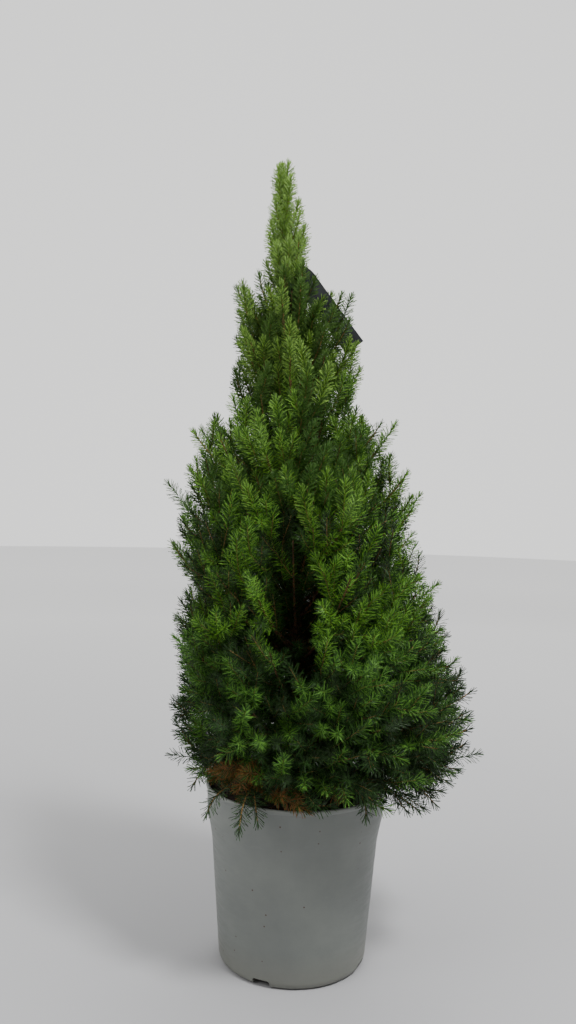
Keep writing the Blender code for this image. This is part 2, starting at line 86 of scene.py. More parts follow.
def finish_named(name):
    """A new material's tree, with its shader and its output."""
    made = bpy.data.materials.new(name)
    made.use_nodes = True
    shader = made.node_tree.nodes["Principled BSDF"]
    return made, made.node_tree, shader


def ramp(tree, value, stops):
    """Colours or greys by a value from 0 to 1."""
    node = add(tree, "ShaderNodeValToRGB", {0: value})
    while len(node.color_ramp.elements) < len(stops):
        node.color_ramp.elements.new(0.5)
    for element, (place, colour) in zip(node.color_ramp.elements, stops):
        element.position = place
        element.color = linear(colour) if isinstance(colour, str) else (colour, colour, colour, 1.0)
    return node.outputs[0]


def new_object(name, points, faces, look=None, smooth=None):
    mesh = bpy.data.meshes.new(name)
    mesh.from_pydata([tuple(p) for p in points], [], faces)
    if look:
        mesh.materials.append(look)
    obj = bpy.data.objects.new(name, mesh)
    bpy.context.scene.collection.objects.link(obj)
    if smooth is not None:
        mesh.shade_smooth()
        mesh.set_sharp_from_angle(angle=math.radians(smooth))
    return obj


def filleted(profile, size, steps=4):
    """The profile with each inner corner rounded over a length."""
    points = [Vector(profile[0])]
    for before, corner, after in zip(profile, profile[1:], profile[2:]):
        before, corner, after = Vector(before), Vector(corner), Vector(after)
        back, on = before - corner, after - corner
        reach = min(size, back.length * 0.45, on.length * 0.45)
        first, last = corner + back.normalized() * reach, corner + on.normalized() * reach
        for i in range(steps + 1):
            t = i / steps
            points.append(first * (1 - t) ** 2 + corner * (2 * t * (1 - t)) + last * t**2)
    return points + [Vector(profile[-1])]


def lathe(name, profile, segments, look, lift=None):
    """A closed solid turned from a profile that starts and ends on the axis."""
    points = [Vector((0, 0, profile[0][1]))]
    for ring, (radius, height) in enumerate(profile[1:-1]):
        for k in range(segments):
            angle = 2 * math.pi * k / segments
            place = Vector((radius * math.cos(angle), radius * math.sin(angle), height))
            points.append(lift(place) if lift else place)
    points.append(Vector((0, 0, profile[-1][1])))
    rings, faces = len(profile) - 2, []
    for k in range(segments):
        n = (k + 1) % segments
        faces.append((0, 1 + n, 1 + k))
        for i in range(rings - 1):
            low, high = 1 + i * segments, 1 + (i + 1) * segments
            faces.append((low + k, low + n, high + n, high + k))
        last = 1 + (rings - 1) * segments
        faces.append((last + k, last + n, len(points) - 1))
    return new_object(name, points, faces, look, 34)


# Moulded polypropylene: a satin skin with a fine spark-eroded grain, a faint flow mottle, dull scuffs and dried-on
# specks of potting mix. The grain is 0.4 mm on the real pot and is drawn at 1.2 mm, so that it still shows.
pot_finish, tree, shader = finish_named("moulded polypropylene")
place = add(tree, "ShaderNodeTexCoord").outputs["Object"]
mottle = add(tree, "ShaderNodeTexNoise", {"Vector": place, "Scale": 14.0, "Detail": 5.0, "Roughness": 0.6}).outputs["Fac"]
streak_place = add(tree, "ShaderNodeMapping", {"Vector": place, "Scale": (1.0, 1.0, 7.0)}).outputs[0]
scuffs = add(tree, "ShaderNodeTexNoise", {"Vector": streak_place, "Scale": 34.0, "Detail": 6.0, "Roughness": 0.7}).outputs["Fac"]
scuff_mask = ramp(tree, scuffs, ((0.60, 0.0), (0.76, 1.0)))
specks = add(tree, "ShaderNodeTexVoronoi", {"Vector": place, "Scale": 62.0, "Randomness": 1.0})
speck_size = ramp(tree, specks.outputs["Distance"], ((0.050, 1.0), (0.075, 0.0)))
speck_chance = ramp(tree, add(tree, "ShaderNodeSeparateXYZ", {0: specks.outputs["Color"]}).outputs[0], ((0.62, 0.0), (0.64, 1.0)))
speck_mask = add(tree, "ShaderNodeMath", {0: speck_size, 1: speck_chance}, operation="MULTIPLY").outputs[0]
height = add(tree, "ShaderNodeSeparateXYZ", {0: place}).outputs["Z"]
foot_dust = add(tree, "ShaderNodeMapRange", {0: height, 1: 0.0, 2: 0.045, 3: 0.55, 4: 0.0}).outputs[0]
# A paler band round the rolled lip: a painted highlight along the lip.
lip_highlight = add(tree, "ShaderNodeMapRange", {0: height, 1: 0.2145, 2: 0.2195, 3: 0.0, 4: 0.55}).outputs[0]
tint = ramp(tree, mottle, ((0.30, "#676B68"), (0.52, "#6E726E"), (0.74, "#757974")))
# The pot's tone with its real scuffs, the painted lip highlight, dust at the foot and specks of mix.
wear_and_highlight = add(tree, "ShaderNodeMix", {0: scuff_mask, 6: tint, 7: linear("#747874")}, data_type="RGBA").outputs[2]
wear_and_highlight = add(tree, "ShaderNodeMix", {0: lip_highlight, 6: wear_and_highlight, 7: linear("#8A8D87")}, data_type="RGBA").outputs[2]
wear_and_highlight = add(tree, "ShaderNodeMix", {0: foot_dust, 6: wear_and_highlight, 7: linear("#7B7A70")}, data_type="RGBA").outputs[2]
wear_and_highlight = add(tree, "ShaderNodeMix", {0: speck_mask, 6: wear_and_highlight, 7: linear("#4A382A")}, data_type="RGBA").outputs[2]
tree.links.new(wear_and_highlight, shader.inputs["Base Color"])
tree.links.new(ramp(tree, scuffs, ((0.35, 0.40), (0.75, 0.60))), shader.inputs["Roughness"])
grain = add(tree, "ShaderNodeTexNoise", {"Vector": place, "Scale": 830.0, "Detail": 2.0}).outputs["Fac"]
dents = add(tree, "ShaderNodeBump", {"Height": mottle, "Strength": 0.25, "Distance": 0.002}).outputs[0]
relief = add(tree, "ShaderNodeBump", {"Height": grain, "Strength": 0.16, "Distance": 0.0004, "Normal": dents}).outputs[0]
tree.links.new(relief, shader.inputs["Normal"])
shader.inputs["IOR"].default_value = 1.49

pot_profile = filleted(
    (
        (0, 0.0),
        (POT_FOOT_RADIUS - POT_CORNER, 0.0),
        (POT_FOOT_RADIUS - POT_CORNER * 0.29, POT_CORNER * 0.29),
        (POT_FOOT_RADIUS, POT_CORNER),
        (POT_NECK_RADIUS, POT_NECK_HEIGHT),
        (POT_NECK_RADIUS + 0.0028, 0.5 * (POT_NECK_HEIGHT + POT_COLLAR_HEIGHT)),
        (POT_COLLAR_RADIUS, POT_COLLAR_HEIGHT),
        (POT_LIP_RADIUS - 0.0018, POT_HEIGHT - POT_LIP_DEPTH),
        (POT_LIP_RADIUS, POT_HEIGHT - POT_LIP_DEPTH * 0.7),
        (POT_LIP_RADIUS, POT_HEIGHT - 0.0012),
        (POT_LIP_RADIUS - 0.0012, POT_HEIGHT),
        (POT_INNER_TOP, POT_HEIGHT - 0.0004),
        (POT_COLLAR_RADIUS - POT_WALL, POT_COLLAR_HEIGHT),
        (POT_NECK_RADIUS - POT_WALL, POT_NECK_HEIGHT),
        (POT_FOOT_RADIUS - POT_WALL, POT_CORNER + POT_FLOOR),
        (POT_FOOT_RADIUS - POT_CORNER, POT_FLOOR),
        (0, POT_FLOOR),
    ),
    0.006,
)
pot = lathe("nursery_pot", pot_profile, POT_SEGMENTS, pot_finish)
for number in range(DRAIN_COUNT):
    # One cutter for each recess: a block with rounded top corners, standing across the pot's corner.
    turn = math.radians(DRAIN_AZIMUTH + 360 * number / DRAIN_COUNT)
    out = Vector((math.cos(turn), math.sin(turn), 0))
    side = Vector((-out.y, out.x, 0))
    half, rounding = DRAIN_WIDTH / 2, 0.003
    outline = [(-half, -0.004), (half, -0.004)]
    for i in range(7):
        angle = math.pi / 2 * i / 6
        outline.append((half - rounding + rounding * math.cos(angle), DRAIN_HEIGHT - rounding + rounding * math.sin(angle)))
    for i in range(7):
        angle = math.pi / 2 + math.pi / 2 * i / 6
        outline.append((rounding - half + rounding * math.cos(angle), DRAIN_HEIGHT - rounding + rounding * math.sin(angle)))
    points = []
    for reach in (POT_FOOT_RADIUS - DRAIN_DEPTH, POT_FOOT_RADIUS + 0.006):
        points += [out * reach + side * across + UP * level for across, level in outline]
    count = len(outline)
    faces = [tuple(reversed(range(count))), tuple(range(count, 2 * count))]
    faces += [(k, (k + 1) % count, count + (k + 1) % count, count + k) for k in range(count)]
    cutter = new_object("drain_cutter", points, faces)
    cut = pot.modifiers.new("drain", "BOOLEAN")
    cut.object, cut.solver = cutter, "EXACT"
    bpy.context.view_layer.update()
    mesh = bpy.data.meshes.new_from_object(pot.evaluated_get(bpy.context.evaluated_depsgraph_get()))
    pot.modifiers.clear()
    pot.data = mesh
    bpy.data.objects.remove(cutter)
pot.data.materials.clear()
pot.data.materials.append(pot_finish)
pot.data.shade_smooth()
pot.data.set_sharp_from_angle(angle=math.radians(34))
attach(pot, "root")
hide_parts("pot")

# Potting mix
# Peat and bark fines, tipped in by hand and watered down to just under the lip, so its top is lumpy and dark.
# Loose crumbs of bark and peat lie on it, a few of them as wide as a fingernail.
SOIL_LEVEL = 0.2160
SOIL_EDGE_LEVEL = 0.2105
SOIL_GAP = 0.0006
CRUMB_RADIUS = 0.0017
CRUMB_DENSITY = 62000.0


def settled(place):
    """The top of the mix, raised and sunk by lumps 6 to 20 mm wide. Its sides stay against the pot."""
    flat = math.hypot(place.x, place.y)
    if place.z < SOIL_EDGE_LEVEL - 0.004 or flat > 0.1075:
        return place
    fade = min(1.0, (0.1075 - flat) / 0.006)
    lump = 0.0016 * noise.noise(place * 60) + 0.0012 * noise.noise(place * 150 + Vector((7, 3, 1)))
    return place + UP * (fade * (lump - 0.0008))


# Damp peat and bark: matt and very dark, with redder bark fibres and a few tan flecks, rough at 1 to 3 mm.
soil_finish, tree, shader = finish_named("damp peat and bark")
place = add(tree, "ShaderNodeTexCoord").outputs["Object"]
fines = add(tree, "ShaderNodeTexNoise", {"Vector": place, "Scale": 420.0, "Detail": 6.0, "Roughness": 0.7}).outputs["Fac"]
flecks = add(tree, "ShaderNodeTexVoronoi", {"Vector": place, "Scale": 330.0, "Randomness": 1.0}).outputs["Color"]
fleck_tone = add(tree, "ShaderNodeSeparateXYZ", {0: flecks}).outputs[0]
peat = ramp(tree, fines, ((0.30, "#15100C"), (0.52, "#2A1B13"), (0.72, "#46301F")))
bark_fleck = ramp(tree, fleck_tone, ((0.86, 0.0), (0.90, 1.0)))
shade = add(tree, "ShaderNodeMix", {0: bark_fleck, 6: peat, 7: linear("#6A4A30")}, data_type="RGBA").outputs[2]
tree.links.new(shade, shader.inputs["Base Color"])
tree.links.new(ramp(tree, fines, ((0.3, 0.80), (0.7, 0.98))), shader.inputs["Roughness"])
rough = add(tree, "ShaderNodeBump", {"Height": fines, "Strength": 0.8, "Distance": 0.0016}).outputs[0]
tree.links.new(rough, shader.inputs["Normal"])

soil_profile = [
    (0, POT_FLOOR + SOIL_GAP),
    (POT_FOOT_RADIUS - POT_CORNER - 0.001, POT_FLOOR + SOIL_GAP),
    (POT_FOOT_RADIUS - POT_WALL - SOIL_GAP, POT_CORNER + POT_FLOOR + 0.001),
    (POT_NECK_RADIUS - POT_WALL - SOIL_GAP, POT_NECK_HEIGHT),
    (POT_COLLAR_RADIUS - POT_WALL - SOIL_GAP - 0.0002, POT_COLLAR_HEIGHT + 0.001),
    (POT_INNER_TOP - SOIL_GAP - 0.0006, SOIL_EDGE_LEVEL),
]
top_stations = ((POT_INNER_TOP - SOIL_GAP - 0.0006, SOIL_EDGE_LEVEL), (0.088, 0.2125), (0.055, 0.2145), (0.022, SOIL_LEVEL), (0.0, SOIL_LEVEL))
for (far, low), (near, high) in zip(top_stations, top_stations[1:]):
    steps = max(1, round((far - near) / 0.003))
    soil_profile += [(far + (near - far) * i / steps, low + (high - low) * i / steps) for i in range(1, steps + 1)]
soil = lathe("potting_mix", soil_profile, 160, soil_finish, settled)

tree = bpy.data.node_groups.new("loose crumbs", "GeometryNodeTree")
tree.interface.new_socket("Geometry", in_out="INPUT", socket_type="NodeSocketGeometry")
tree.interface.new_socket("Density", in_out="INPUT", socket_type="NodeSocketFloat")
tree.interface.new_socket("Crumb Radius", in_out="INPUT", socket_type="NodeSocketFloat")
tree.interface.new_socket("Seed", in_out="INPUT", socket_type="NodeSocketInt")
tree.interface.new_socket("Geometry", in_out="OUTPUT", socket_type="NodeSocketGeometry")
given = add(tree, "NodeGroupInput").outputs
facing = add(tree, "ShaderNodeSeparateXYZ", {0: add(tree, "GeometryNodeInputNormal").outputs[0]}).outputs["Z"]
level = add(tree, "ShaderNodeSeparateXYZ", {0: add(tree, "GeometryNodeInputPosition").outputs[0]}).outputs["Z"]
on_top = add(tree, "FunctionNodeCompare", {0: level, 1: SOIL_EDGE_LEVEL - 0.003}, operation="GREATER_THAN").outputs[0]
upward = add(tree, "FunctionNodeCompare", {0: facing, 1: 0.5}, operation="GREATER_THAN").outputs[0]
both = add(tree, "FunctionNodeBooleanMath", {0: on_top, 1: upward}, operation="AND").outputs[0]
spots = add(tree, "GeometryNodeDistributePointsOnFaces", {"Mesh": given["Geometry"], "Selection": both, "Density": given["Density"], "Seed": given["Seed"]})
crumb = add(tree, "GeometryNodeMeshIcoSphere", {"Radius": given["Crumb Radius"], "Subdivisions": 1}).outputs["Mesh"]
turned = add(tree, "FunctionNodeRandomValue", {0: (0, 0, 0), 1: (6.28, 6.28, 6.28), "Seed": 3}, data_type="FLOAT_VECTOR").outputs[0]
sized = add(tree, "FunctionNodeRandomValue", {0: (0.25, 0.20, 0.15), 1: (1.25, 0.8, 0.6), "Seed": 5}, data_type="FLOAT_VECTOR").outputs[0]
laid = add(tree, "GeometryNodeInstanceOnPoints", {"Points": spots.outputs["Points"], "Instance": crumb, "Rotation": turned, "Scale": sized}).outputs[0]
real = add(tree, "GeometryNodeRealizeInstances", {0: laid}).outputs[0]
flat_shaded = add(tree, "GeometryNodeSetShadeSmooth", {"Geometry": real, "Shade Smooth": False}).outputs[0]
dressed = add(tree, "GeometryNodeSetMaterial", {"Geometry": flat_shaded, "Material": soil_finish}).outputs[0]
add(tree, "NodeGroupOutput", {0: dressed})


def grown(name, host, tree, values):
    """A plain mesh object made by running a tree on its host, which is then removed."""
    step = host.modifiers.new("growth", "NODES")
    step.node_group = tree
    places = {item.name: item.identifier for item in tree.interface.items_tree if item.in_out == "INPUT"}
    for label, value in values.items():
        step[places[label]] = value
    bpy.context.view_layer.update()
    mesh = bpy.data.meshes.new_from_object(host.evaluated_get(bpy.context.evaluated_depsgraph_get()))
    bpy.data.objects.remove(host)
    mesh.name = name
    made = bpy.data.objects.new(name, mesh)
    bpy.context.scene.collection.objects.link(made)
    return made


bed = bpy.data.objects.new("bed", soil.data.copy())
bpy.context.scene.collection.objects.link(bed)
crumbs = grown("bark_crumbs", bed, tree, {"Density": CRUMB_DENSITY, "Crumb Radius": CRUMB_RADIUS, "Seed": 4})
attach(soil, "root")
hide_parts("soil")
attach(crumbs, "root")

# Trunk and boughs
# One woody stem with a small root flare, leaning a little to the left, and the boughs that leave it in tiers.
# Young spruce bark: thin, scaly and orange-brown, with a low peg where each old needle stood.
TRUNK_FOOT = SOIL_LEVEL + 0.0003
TRUNK_TOP = 0.868
TRUNK_FOOT_RADIUS = 0.0110
TRUNK_TOP_RADIUS = 0.0024
ROOT_FLARE = 0.0050
ROOT_FLARE_HEIGHT = 0.012
TRUNK_LEAN = -0.038
TRUNK_LEAN_POWER = 1.6
TRUNK_BEND = 0.0015
CROWN_TOP = 0.992
# name, count, first azimuth, foot, right reach, left reach, right tip, left tip, spray, share of bough
TIERS = (
    ("skirt", 5, 340, 0.242, 0.222, 0.160, 0.278, 0.262, 0.080, 0.26),
    ("low", 5, 16, 0.275, 0.230, 0.174, 0.340, 0.330, 0.084, 0.24),
    ("waist", 4, 30, 0.320, 0.212, 0.176, 0.410, 0.405, 0.086, 0.22),
    ("middle", 4, 340, 0.378, 0.180, 0.174, 0.480, 0.505, 0.084, 0.21),
    ("shoulder", 4, 22, 0.465, 0.170, 0.164, 0.580, 0.590, 0.078, 0.21),
    ("upper", 4, 340, 0.555, 0.130, 0.136, 0.664, 0.664, 0.070, 0.0),
    ("high", 3, 20, 0.625, 0.090, 0.072, 0.745, 0.768, 0.062, 0.0),
    ("top", 4, 350, 0.712, 0.070, 0.068, 0.826, 0.838, 0.055, 0.0),
)
DEPTH_SHARE = 0.90
KNEE_RISE = 0.30
GOLDEN_ANGLE = math.radians(137.508)
LAYOUT_SEED = 6
GROWTH_SEED = 23
# height, right reach and left reach of the crown's outermost shoots
CROWN = (
    (0.170, 0.140, 0.098),
    (0.205, 0.172, 0.120),
    (0.246, 0.198, 0.134),
    (0.285, 0.216, 0.150),
    (0.340, 0.212, 0.149),
    (0.380, 0.196, 0.149),
    (0.450, 0.162, 0.152),
    (0.520, 0.142, 0.162),
    (0.600, 0.130, 0.142),
    (0.655, 0.098, 0.137),
    (0.700, 0.072, 0.102),
    (0.780, 0.056, 0.096),
    (0.835, 0.045, 0.094),
    (0.865, 0.016, 0.062),
    (0.900, 0.000, 0.054),
    (0.950, -0.014, 0.050),
    (0.985, -0.026, 0.046),
    (0.996, -0.030, 0.044),
)
# Free-standing shoots that stand out of the outline: foot height on the trunk, tip across, tip back, tip height
LEADING_SHOOTS = (
    (0.735, -0.088, -0.010, 0.834),
    (0.760, -0.061, -0.022, 0.848),
    (0.772, -0.008, -0.024, 0.862),
    (0.745, 0.040, -0.014, 0.828),
    (0.700, -0.088, 0.012, 0.775),
    (0.790, -0.030, 0.040, 0.858),
    (0.755, 0.012, 0.044, 0.836),
    (0.735, -0.058, 0.046, 0.826),
    (0.858, -0.0075, -0.006, 0.912),
    (0.862, -0.050, -0.004, 0.902),
    (0.900, -0.016, 0.008, 0.948),
    (0.905, -0.044, -0.006, 0.945),
    (0.872, -0.026, 0.020, 0.918),
    (0.935, -0.030, 0.004, 0.994),
    (0.925, -0.041, -0.006, 0.984),
    (0.918, -0.026, -0.008, 0.972),
    (0.900, -0.033, 0.014, 0.962),
    (0.880, -0.014, -0.012, 0.928),
    (0.880, -0.046, 0.010, 0.930),
    (0.735, 0.030, -0.030, 0.806),
    (0.710, 0.050, -0.022, 0.796),
    (0.690, 0.060, -0.010, 0.768),
    (0.705, 0.020, -0.044, 0.782),
    (0.560, -0.136, -0.020, 0.654),
    (0.575, -0.104, -0.034, 0.655),
    (0.400, -0.158, -0.030, 0.516),
    (0.500, 0.125, -0.020, 0.609),
    (0.580, 0.090, -0.032, 0.668),
    (0.350, 0.157, -0.030, 0.457),
    (0.290, 0.193, -0.020, 0.380),
    (0.262, 0.211, -0.028, 0.343),
    (0.242, 0.207, -0.040, 0.300),
)
# Soft low shoots that sag over the pot's rim: root, knee, tip
DROOPING_SHOOTS = (
    ((-0.046, -0.078, 0.238), (-0.062, -0.122, 0.248), (-0.064, -0.138, 0.206)),
    ((-0.050, -0.080, 0.236), (-0.050, -0.116, 0.244), (-0.044, -0.130, 0.214)),
    ((-0.058, -0.060, 0.240), (-0.028, -0.118, 0.242), (0.010, -0.130, 0.228)),
    ((-0.064, -0.074, 0.236), (-0.094, -0.104, 0.246), (-0.102, -0.114, 0.216)),
    ((0.050, -0.070, 0.240), (0.082, -0.108, 0.244), (0.078, -0.126, 0.220)),
    ((0.090, -0.040, 0.246), (0.142, -0.052, 0.244), (0.168, -0.050, 0.212)),
    ((0.096, 0.020, 0.246), (0.150, 0.030, 0.244), (0.172, 0.020, 0.216)),
    ((-0.080, 0.010, 0.242), (-0.114, 0.010, 0.244), (-0.128, -0.016, 0.216)),
    ((0.030, 0.084, 0.240), (0.040, 0.122, 0.246), (0.050, 0.134, 0.210)),
    ((-0.056, 0.070, 0.240), (-0.084, 0.104, 0.244), (-0.086, 0.116, 0.212)),
)


def trunk_point(height):
    """The trunk's middle at a height. It leans to the left, more so towards the top."""
    share = max(0.0, (height - SOIL_LEVEL) / (CROWN_TOP - SOIL_LEVEL))
    bend = TRUNK_BEND * math.sin(13 * share)
    return Vector((TRUNK_LEAN * share**TRUNK_LEAN_POWER + bend, TRUNK_BEND * math.sin(9 * share), height))


def trunk_radius(height):
    """An even taper, with a flare over the lowest few centimetres."""
    share = max(0.0, (height - TRUNK_FOOT) / (TRUNK_TOP - TRUNK_FOOT))
    flare = ROOT_FLARE * math.exp(-(height - TRUNK_FOOT) / ROOT_FLARE_HEIGHT)
    return TRUNK_FOOT_RADIUS + (TRUNK_TOP_RADIUS - TRUNK_FOOT_RADIUS) * share**0.9 + flare


def blend(right, left, azimuth):
    return (right + left) / 2 + (right - left) / 2 * math.cos(azimuth)


def bough_path(row, number):
    """Foot, knee and tip of one bough of a tier, and the curve through them in eight steps."""
    name, count, first, foot, right, left, right_tip, left_tip, spray, share = row
    azimuth = math.radians(first + 360 * number / count + layout.uniform(-5, 5))
    reach = blend(right, left, azimuth) * (1 - (1 - DEPTH_SHARE) * math.sin(azimuth) ** 2)
    reach *= layout.uniform(0.97, 1.03)
    height = blend(right_tip, left_tip, azimuth) + layout.uniform(-0.006, 0.006)
    start = trunk_point(foot + layout.uniform(-0.008, 0.008))
    out = Vector((math.cos(azimuth), math.sin(azimuth), 0))
    rise = height - start.z
    knee = start + out * (0.62 * reach) + UP * (KNEE_RISE * rise)
    tip = start + out * reach + UP * rise
    return curve_through(start, knee, tip, 8)


def curve_through(start, knee, tip, steps):
    return [start * (1 - i / steps) ** 2 + knee * (2 * i / steps * (1 - i / steps)) + tip * (i / steps) ** 2 for i in range(steps + 1)]


def along(path, share):
    """The point at a share of a path's steps, and the direction there."""
    place = min(len(path) - 1 - 1e-9, max(0.0, share * (len(path) - 1)))
    i = int(place)
    run = path[i + 1] - path[i]
    return path[i] + run * (place - i), run.normalized()


def length_of(path):
    return sum((b - a).length for a, b in zip(path, path[1:]))


def crown_share(point):
    """How far out of the crown a point lies: 0 at its middle, 1 at the outermost shoots at that height."""
    height = min(CROWN[-1][0], max(CROWN[0][0], point.z))
    for (low, right, left), (high, next_right, next_left) in zip(CROWN, CROWN[1:]):
        if height <= high:
            t = (height - low) / (high - low)
            right, left = right + (next_right - right) * t, left + (next_left - left) * t
            break
    half = (right + left) / 2
    return math.hypot((point.x - (right - left) / 2) / half, point.y / (half * DEPTH_SHARE))


def barked(path, radii, sides, steps, relief):
    """Points and faces of a closed limb whose skin carries ridges and scales."""
    total, points, faces = length_of(path), [], []
    count = max(4, round(total / steps))
    heading = (path[1] - path[0]).normalized()
    side = heading.orthogonal().normalized()
    for i in range(count + 1):
        middle, heading = along(path, i / count)
        side = (side - heading * side.dot(heading)).normalized()
        other = heading.cross(side)
        place = i / count * (len(radii) - 1)
        k = min(len(radii) - 2, int(place))
        radius = radii[k] + (radii[k + 1] - radii[k]) * (place - k)
        for k in range(sides):
            angle = 2 * math.pi * k / sides
            out = side * math.cos(angle) + other * math.sin(angle)
            spot = middle + out * radius
            scales = noise.noise(Vector((spot.x * 260, spot.y * 260, spot.z * 120)))
            ridges = noise.noise(Vector((spot.x * 640 + 5, spot.y * 640, spot.z * 300)))
            points.append(spot + out * (relief * radius * (0.16 * scales + 0.09 * ridges)))
    faces.append(tuple(reversed(range(sides))))
    for i in range(count):
        for k in range(sides):
            n = (k + 1) % sides
            faces.append((i * sides + k, i * sides + n, (i + 1) * sides + n, (i + 1) * sides + k))
    faces.append(tuple(count * sides + k for k in range(sides)))
    return points, faces


def joined(name, parts, look, smooth=None):
    """Many closed meshes as one piece."""
    points, faces = [], []
    for some, their in parts:
        faces += [tuple(len(points) + k for k in face) for face in their]
        points += some
    return new_object(name, points, faces, look, smooth)


# Young spruce bark: matt, from grey-brown at the foot to orange-brown higher up, in scales 2 to 4 mm wide with dark
# cracks between them.
bark_finish, tree, shader = finish_named("young spruce bark")
place = add(tree, "ShaderNodeTexCoord").outputs["Object"]
tall = add(tree, "ShaderNodeMapping", {"Vector": place, "Scale": (1.0, 1.0, 0.45)}).outputs[0]
scale_edges = add(tree, "ShaderNodeTexVoronoi", {"Vector": tall, "Scale": 330.0}, feature="DISTANCE_TO_EDGE").outputs[0]
stain = add(tree, "ShaderNodeTexNoise", {"Vector": tall, "Scale": 190.0, "Detail": 5.0, "Roughness": 0.65}).outputs["Fac"]
height = add(tree, "ShaderNodeSeparateXYZ", {0: place}).outputs["Z"]
youth = add(tree, "ShaderNodeMapRange", {0: height, 1: 0.22, 2: 0.50, 3: 0.0, 4: 1.0}).outputs[0]
old_bark = ramp(tree, stain, ((0.30, "#3E2C22"), (0.52, "#6B4A35"), (0.72, "#8A6A50")))
# The young bark's tones are held about a fifth darker than bark in the open: painted shade for its place deep in the
# crown.
young_bark = ramp(tree, stain, ((0.30, "#4C3520"), (0.52, "#71502F"), (0.72, "#937046")))
skin = add(tree, "ShaderNodeMix", {0: youth, 6: old_bark, 7: young_bark}, data_type="RGBA").outputs[2]
cracks = ramp(tree, scale_edges, ((0.02, 1.0), (0.10, 0.0)))
skin = add(tree, "ShaderNodeMix", {0: cracks, 6: skin, 7: linear("#33221A")}, data_type="RGBA").outputs[2]
tree.links.new(skin, shader.inputs["Base Color"])
shader.inputs["Roughness"].default_value = 0.86
edge_bump = add(tree, "ShaderNodeBump", {"Height": scale_edges, "Strength": 0.6, "Distance": 0.0006}).outputs[0]
bark_bump = add(tree, "ShaderNodeBump", {"Height": stain, "Strength": 0.4, "Distance": 0.0006, "Normal": edge_bump}).outputs[0]
tree.links.new(bark_bump, shader.inputs["Normal"])

heights = [TRUNK_FOOT + (CROWN_TOP - 0.006 - TRUNK_FOOT) * i / 96 for i in range(97)]
trunk_path = [trunk_point(height) for height in heights]
trunk_radii = [trunk_radius(height) if height < TRUNK_TOP else TRUNK_TOP_RADIUS - 0.0009 * (height - TRUNK_TOP) / 0.12 for height in heights]
woody = [barked(trunk_path, trunk_radii, 18, 0.0035, 1.0)]

layout = random.Random(LAYOUT_SEED)
growth = random.Random(GROWTH_SEED)
boughs = []
for row in TIERS:
    for number in range(row[1]):
        path = bough_path(row, number)
        boughs.append((row[0], path))
        while crown_share(path[-1]) > 0.93:
            path = [along(path, 0.97 * i / 8)[0] for i in range(9)]
        foot, tip = (0.0042, 0.0009) if row[9] else (0.0030, 0.0009)
        woody.append(barked(path, [foot * 1.35, foot] + [foot + (tip - foot) * (i / 7) ** 0.8 for i in range(1, 8)], 9, 0.005, 0.8))

# Boughs between the tiers, thinner and shorter, which fill the crown from all sides.
minor = []
for number in range(88):
    share = (number + 0.5) / 88
    foot = 0.232 + 0.60 * share**1.12
    azimuth = number * GOLDEN_ANGLE + growth.uniform(-0.3, 0.3)
    rise = 0.030 + 0.095 * min(1.0, (foot - 0.23) / 0.16) + growth.uniform(-0.015, 0.02)
    start = trunk_point(foot)
    out = Vector((math.cos(azimuth), math.sin(azimuth), 0))
    reach = 0.02
    wanted = growth.uniform(0.62, 0.97)
    while crown_share(start + out * reach + UP * rise) < wanted and reach < 0.24:
        reach += 0.004
    rise *= 0.45 + 0.55 * min(1.0, reach / 0.12)
    knee = start + out * (0.60 * reach) + UP * (KNEE_RISE * rise)
    path = curve_through(start, knee, start + out * reach + UP * rise, 8)
    minor.append(("minor", path))
    woody.append(barked(path, [0.0028, 0.0021, 0.0017, 0.0014, 0.0011, 0.0009], 7, 0.006, 0.8))
wood = joined("bark_of_trunk_and_boughs", woody, bark_finish, 60)
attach(wood, "root")
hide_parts("trunk", *[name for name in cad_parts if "_bough_" in name])

# Twigs
# Each bough carries side shoots, and they carry shorter ones, all turned by the golden angle and bent up to the light.
# The twigs are thin, stiff and orange-brown, a millimetre or two thick, and grow from their bough.

# Shaded spots low in the crown where the needles have died: middle and radius
DEAD_SPOTS = (
    (Vector((-0.066, -0.094, 0.240)), 0.040),
    (Vector((-0.014, -0.104, 0.238)), 0.024),
    (Vector((0.046, -0.104, 0.242)), 0.022),
    (Vector((0.128, -0.030, 0.292)), 0.030),
    (Vector((0.040, 0.100, 0.238)), 0.030),
    (Vector((-0.090, 0.050, 0.240)), 0.024),
)
TAG_HEAD = Vector((-0.0073, 0.002, 0.855))
TAG_DOWN = Vector((0.637, 0.19, -0.771)).normalized()
TAG_SIDE = Vector((-0.771, 0.0, -0.637)).normalized()
TAG_FACE = TAG_DOWN.cross(TAG_SIDE).normalized()
TAG_LENGTH = 0.110
TAG_WIDTH = 0.0274
SHOOT_GAP = 0.0120
CELL = 0.012
occupied = {}
shoots = []


def cell_of(point):
    return (int(math.floor(point.x / CELL)), int(math.floor(point.y / CELL)), int(math.floor(point.z / CELL)))


def crowded(point, near):
    """True where another shoot already runs closer than the gap."""
    i, j, k = cell_of(point)
    for a in (i - 1, i, i + 1):
        for b in (j - 1, j, j + 1):
            for c in (k - 1, k, k + 1):
                for other in occupied.get((a, b, c), ()):
                    if (other - point).length < near:
                        return True
    return False


def clear_of_made_things(point):
    """True where a shoot has room for its needles beside the pot, the mix and the plant tag."""
    flat = math.hypot(point.x, point.y)
    if point.z < SOIL_LEVEL + 0.010 and flat < POT_LIP_RADIUS + 0.008:
        return False
    if point.z < 0.175:
        return False
    if point.z > 0.72:
        local = point - TAG_HEAD
        down, across, off = local.dot(TAG_DOWN), local.dot(TAG_SIDE), local.dot(TAG_FACE)
        if -0.004 < down < TAG_LENGTH + 0.006 and abs(across) < TAG_WIDTH / 2 + 0.005 and abs(off) < 0.006:
            return False
    return True


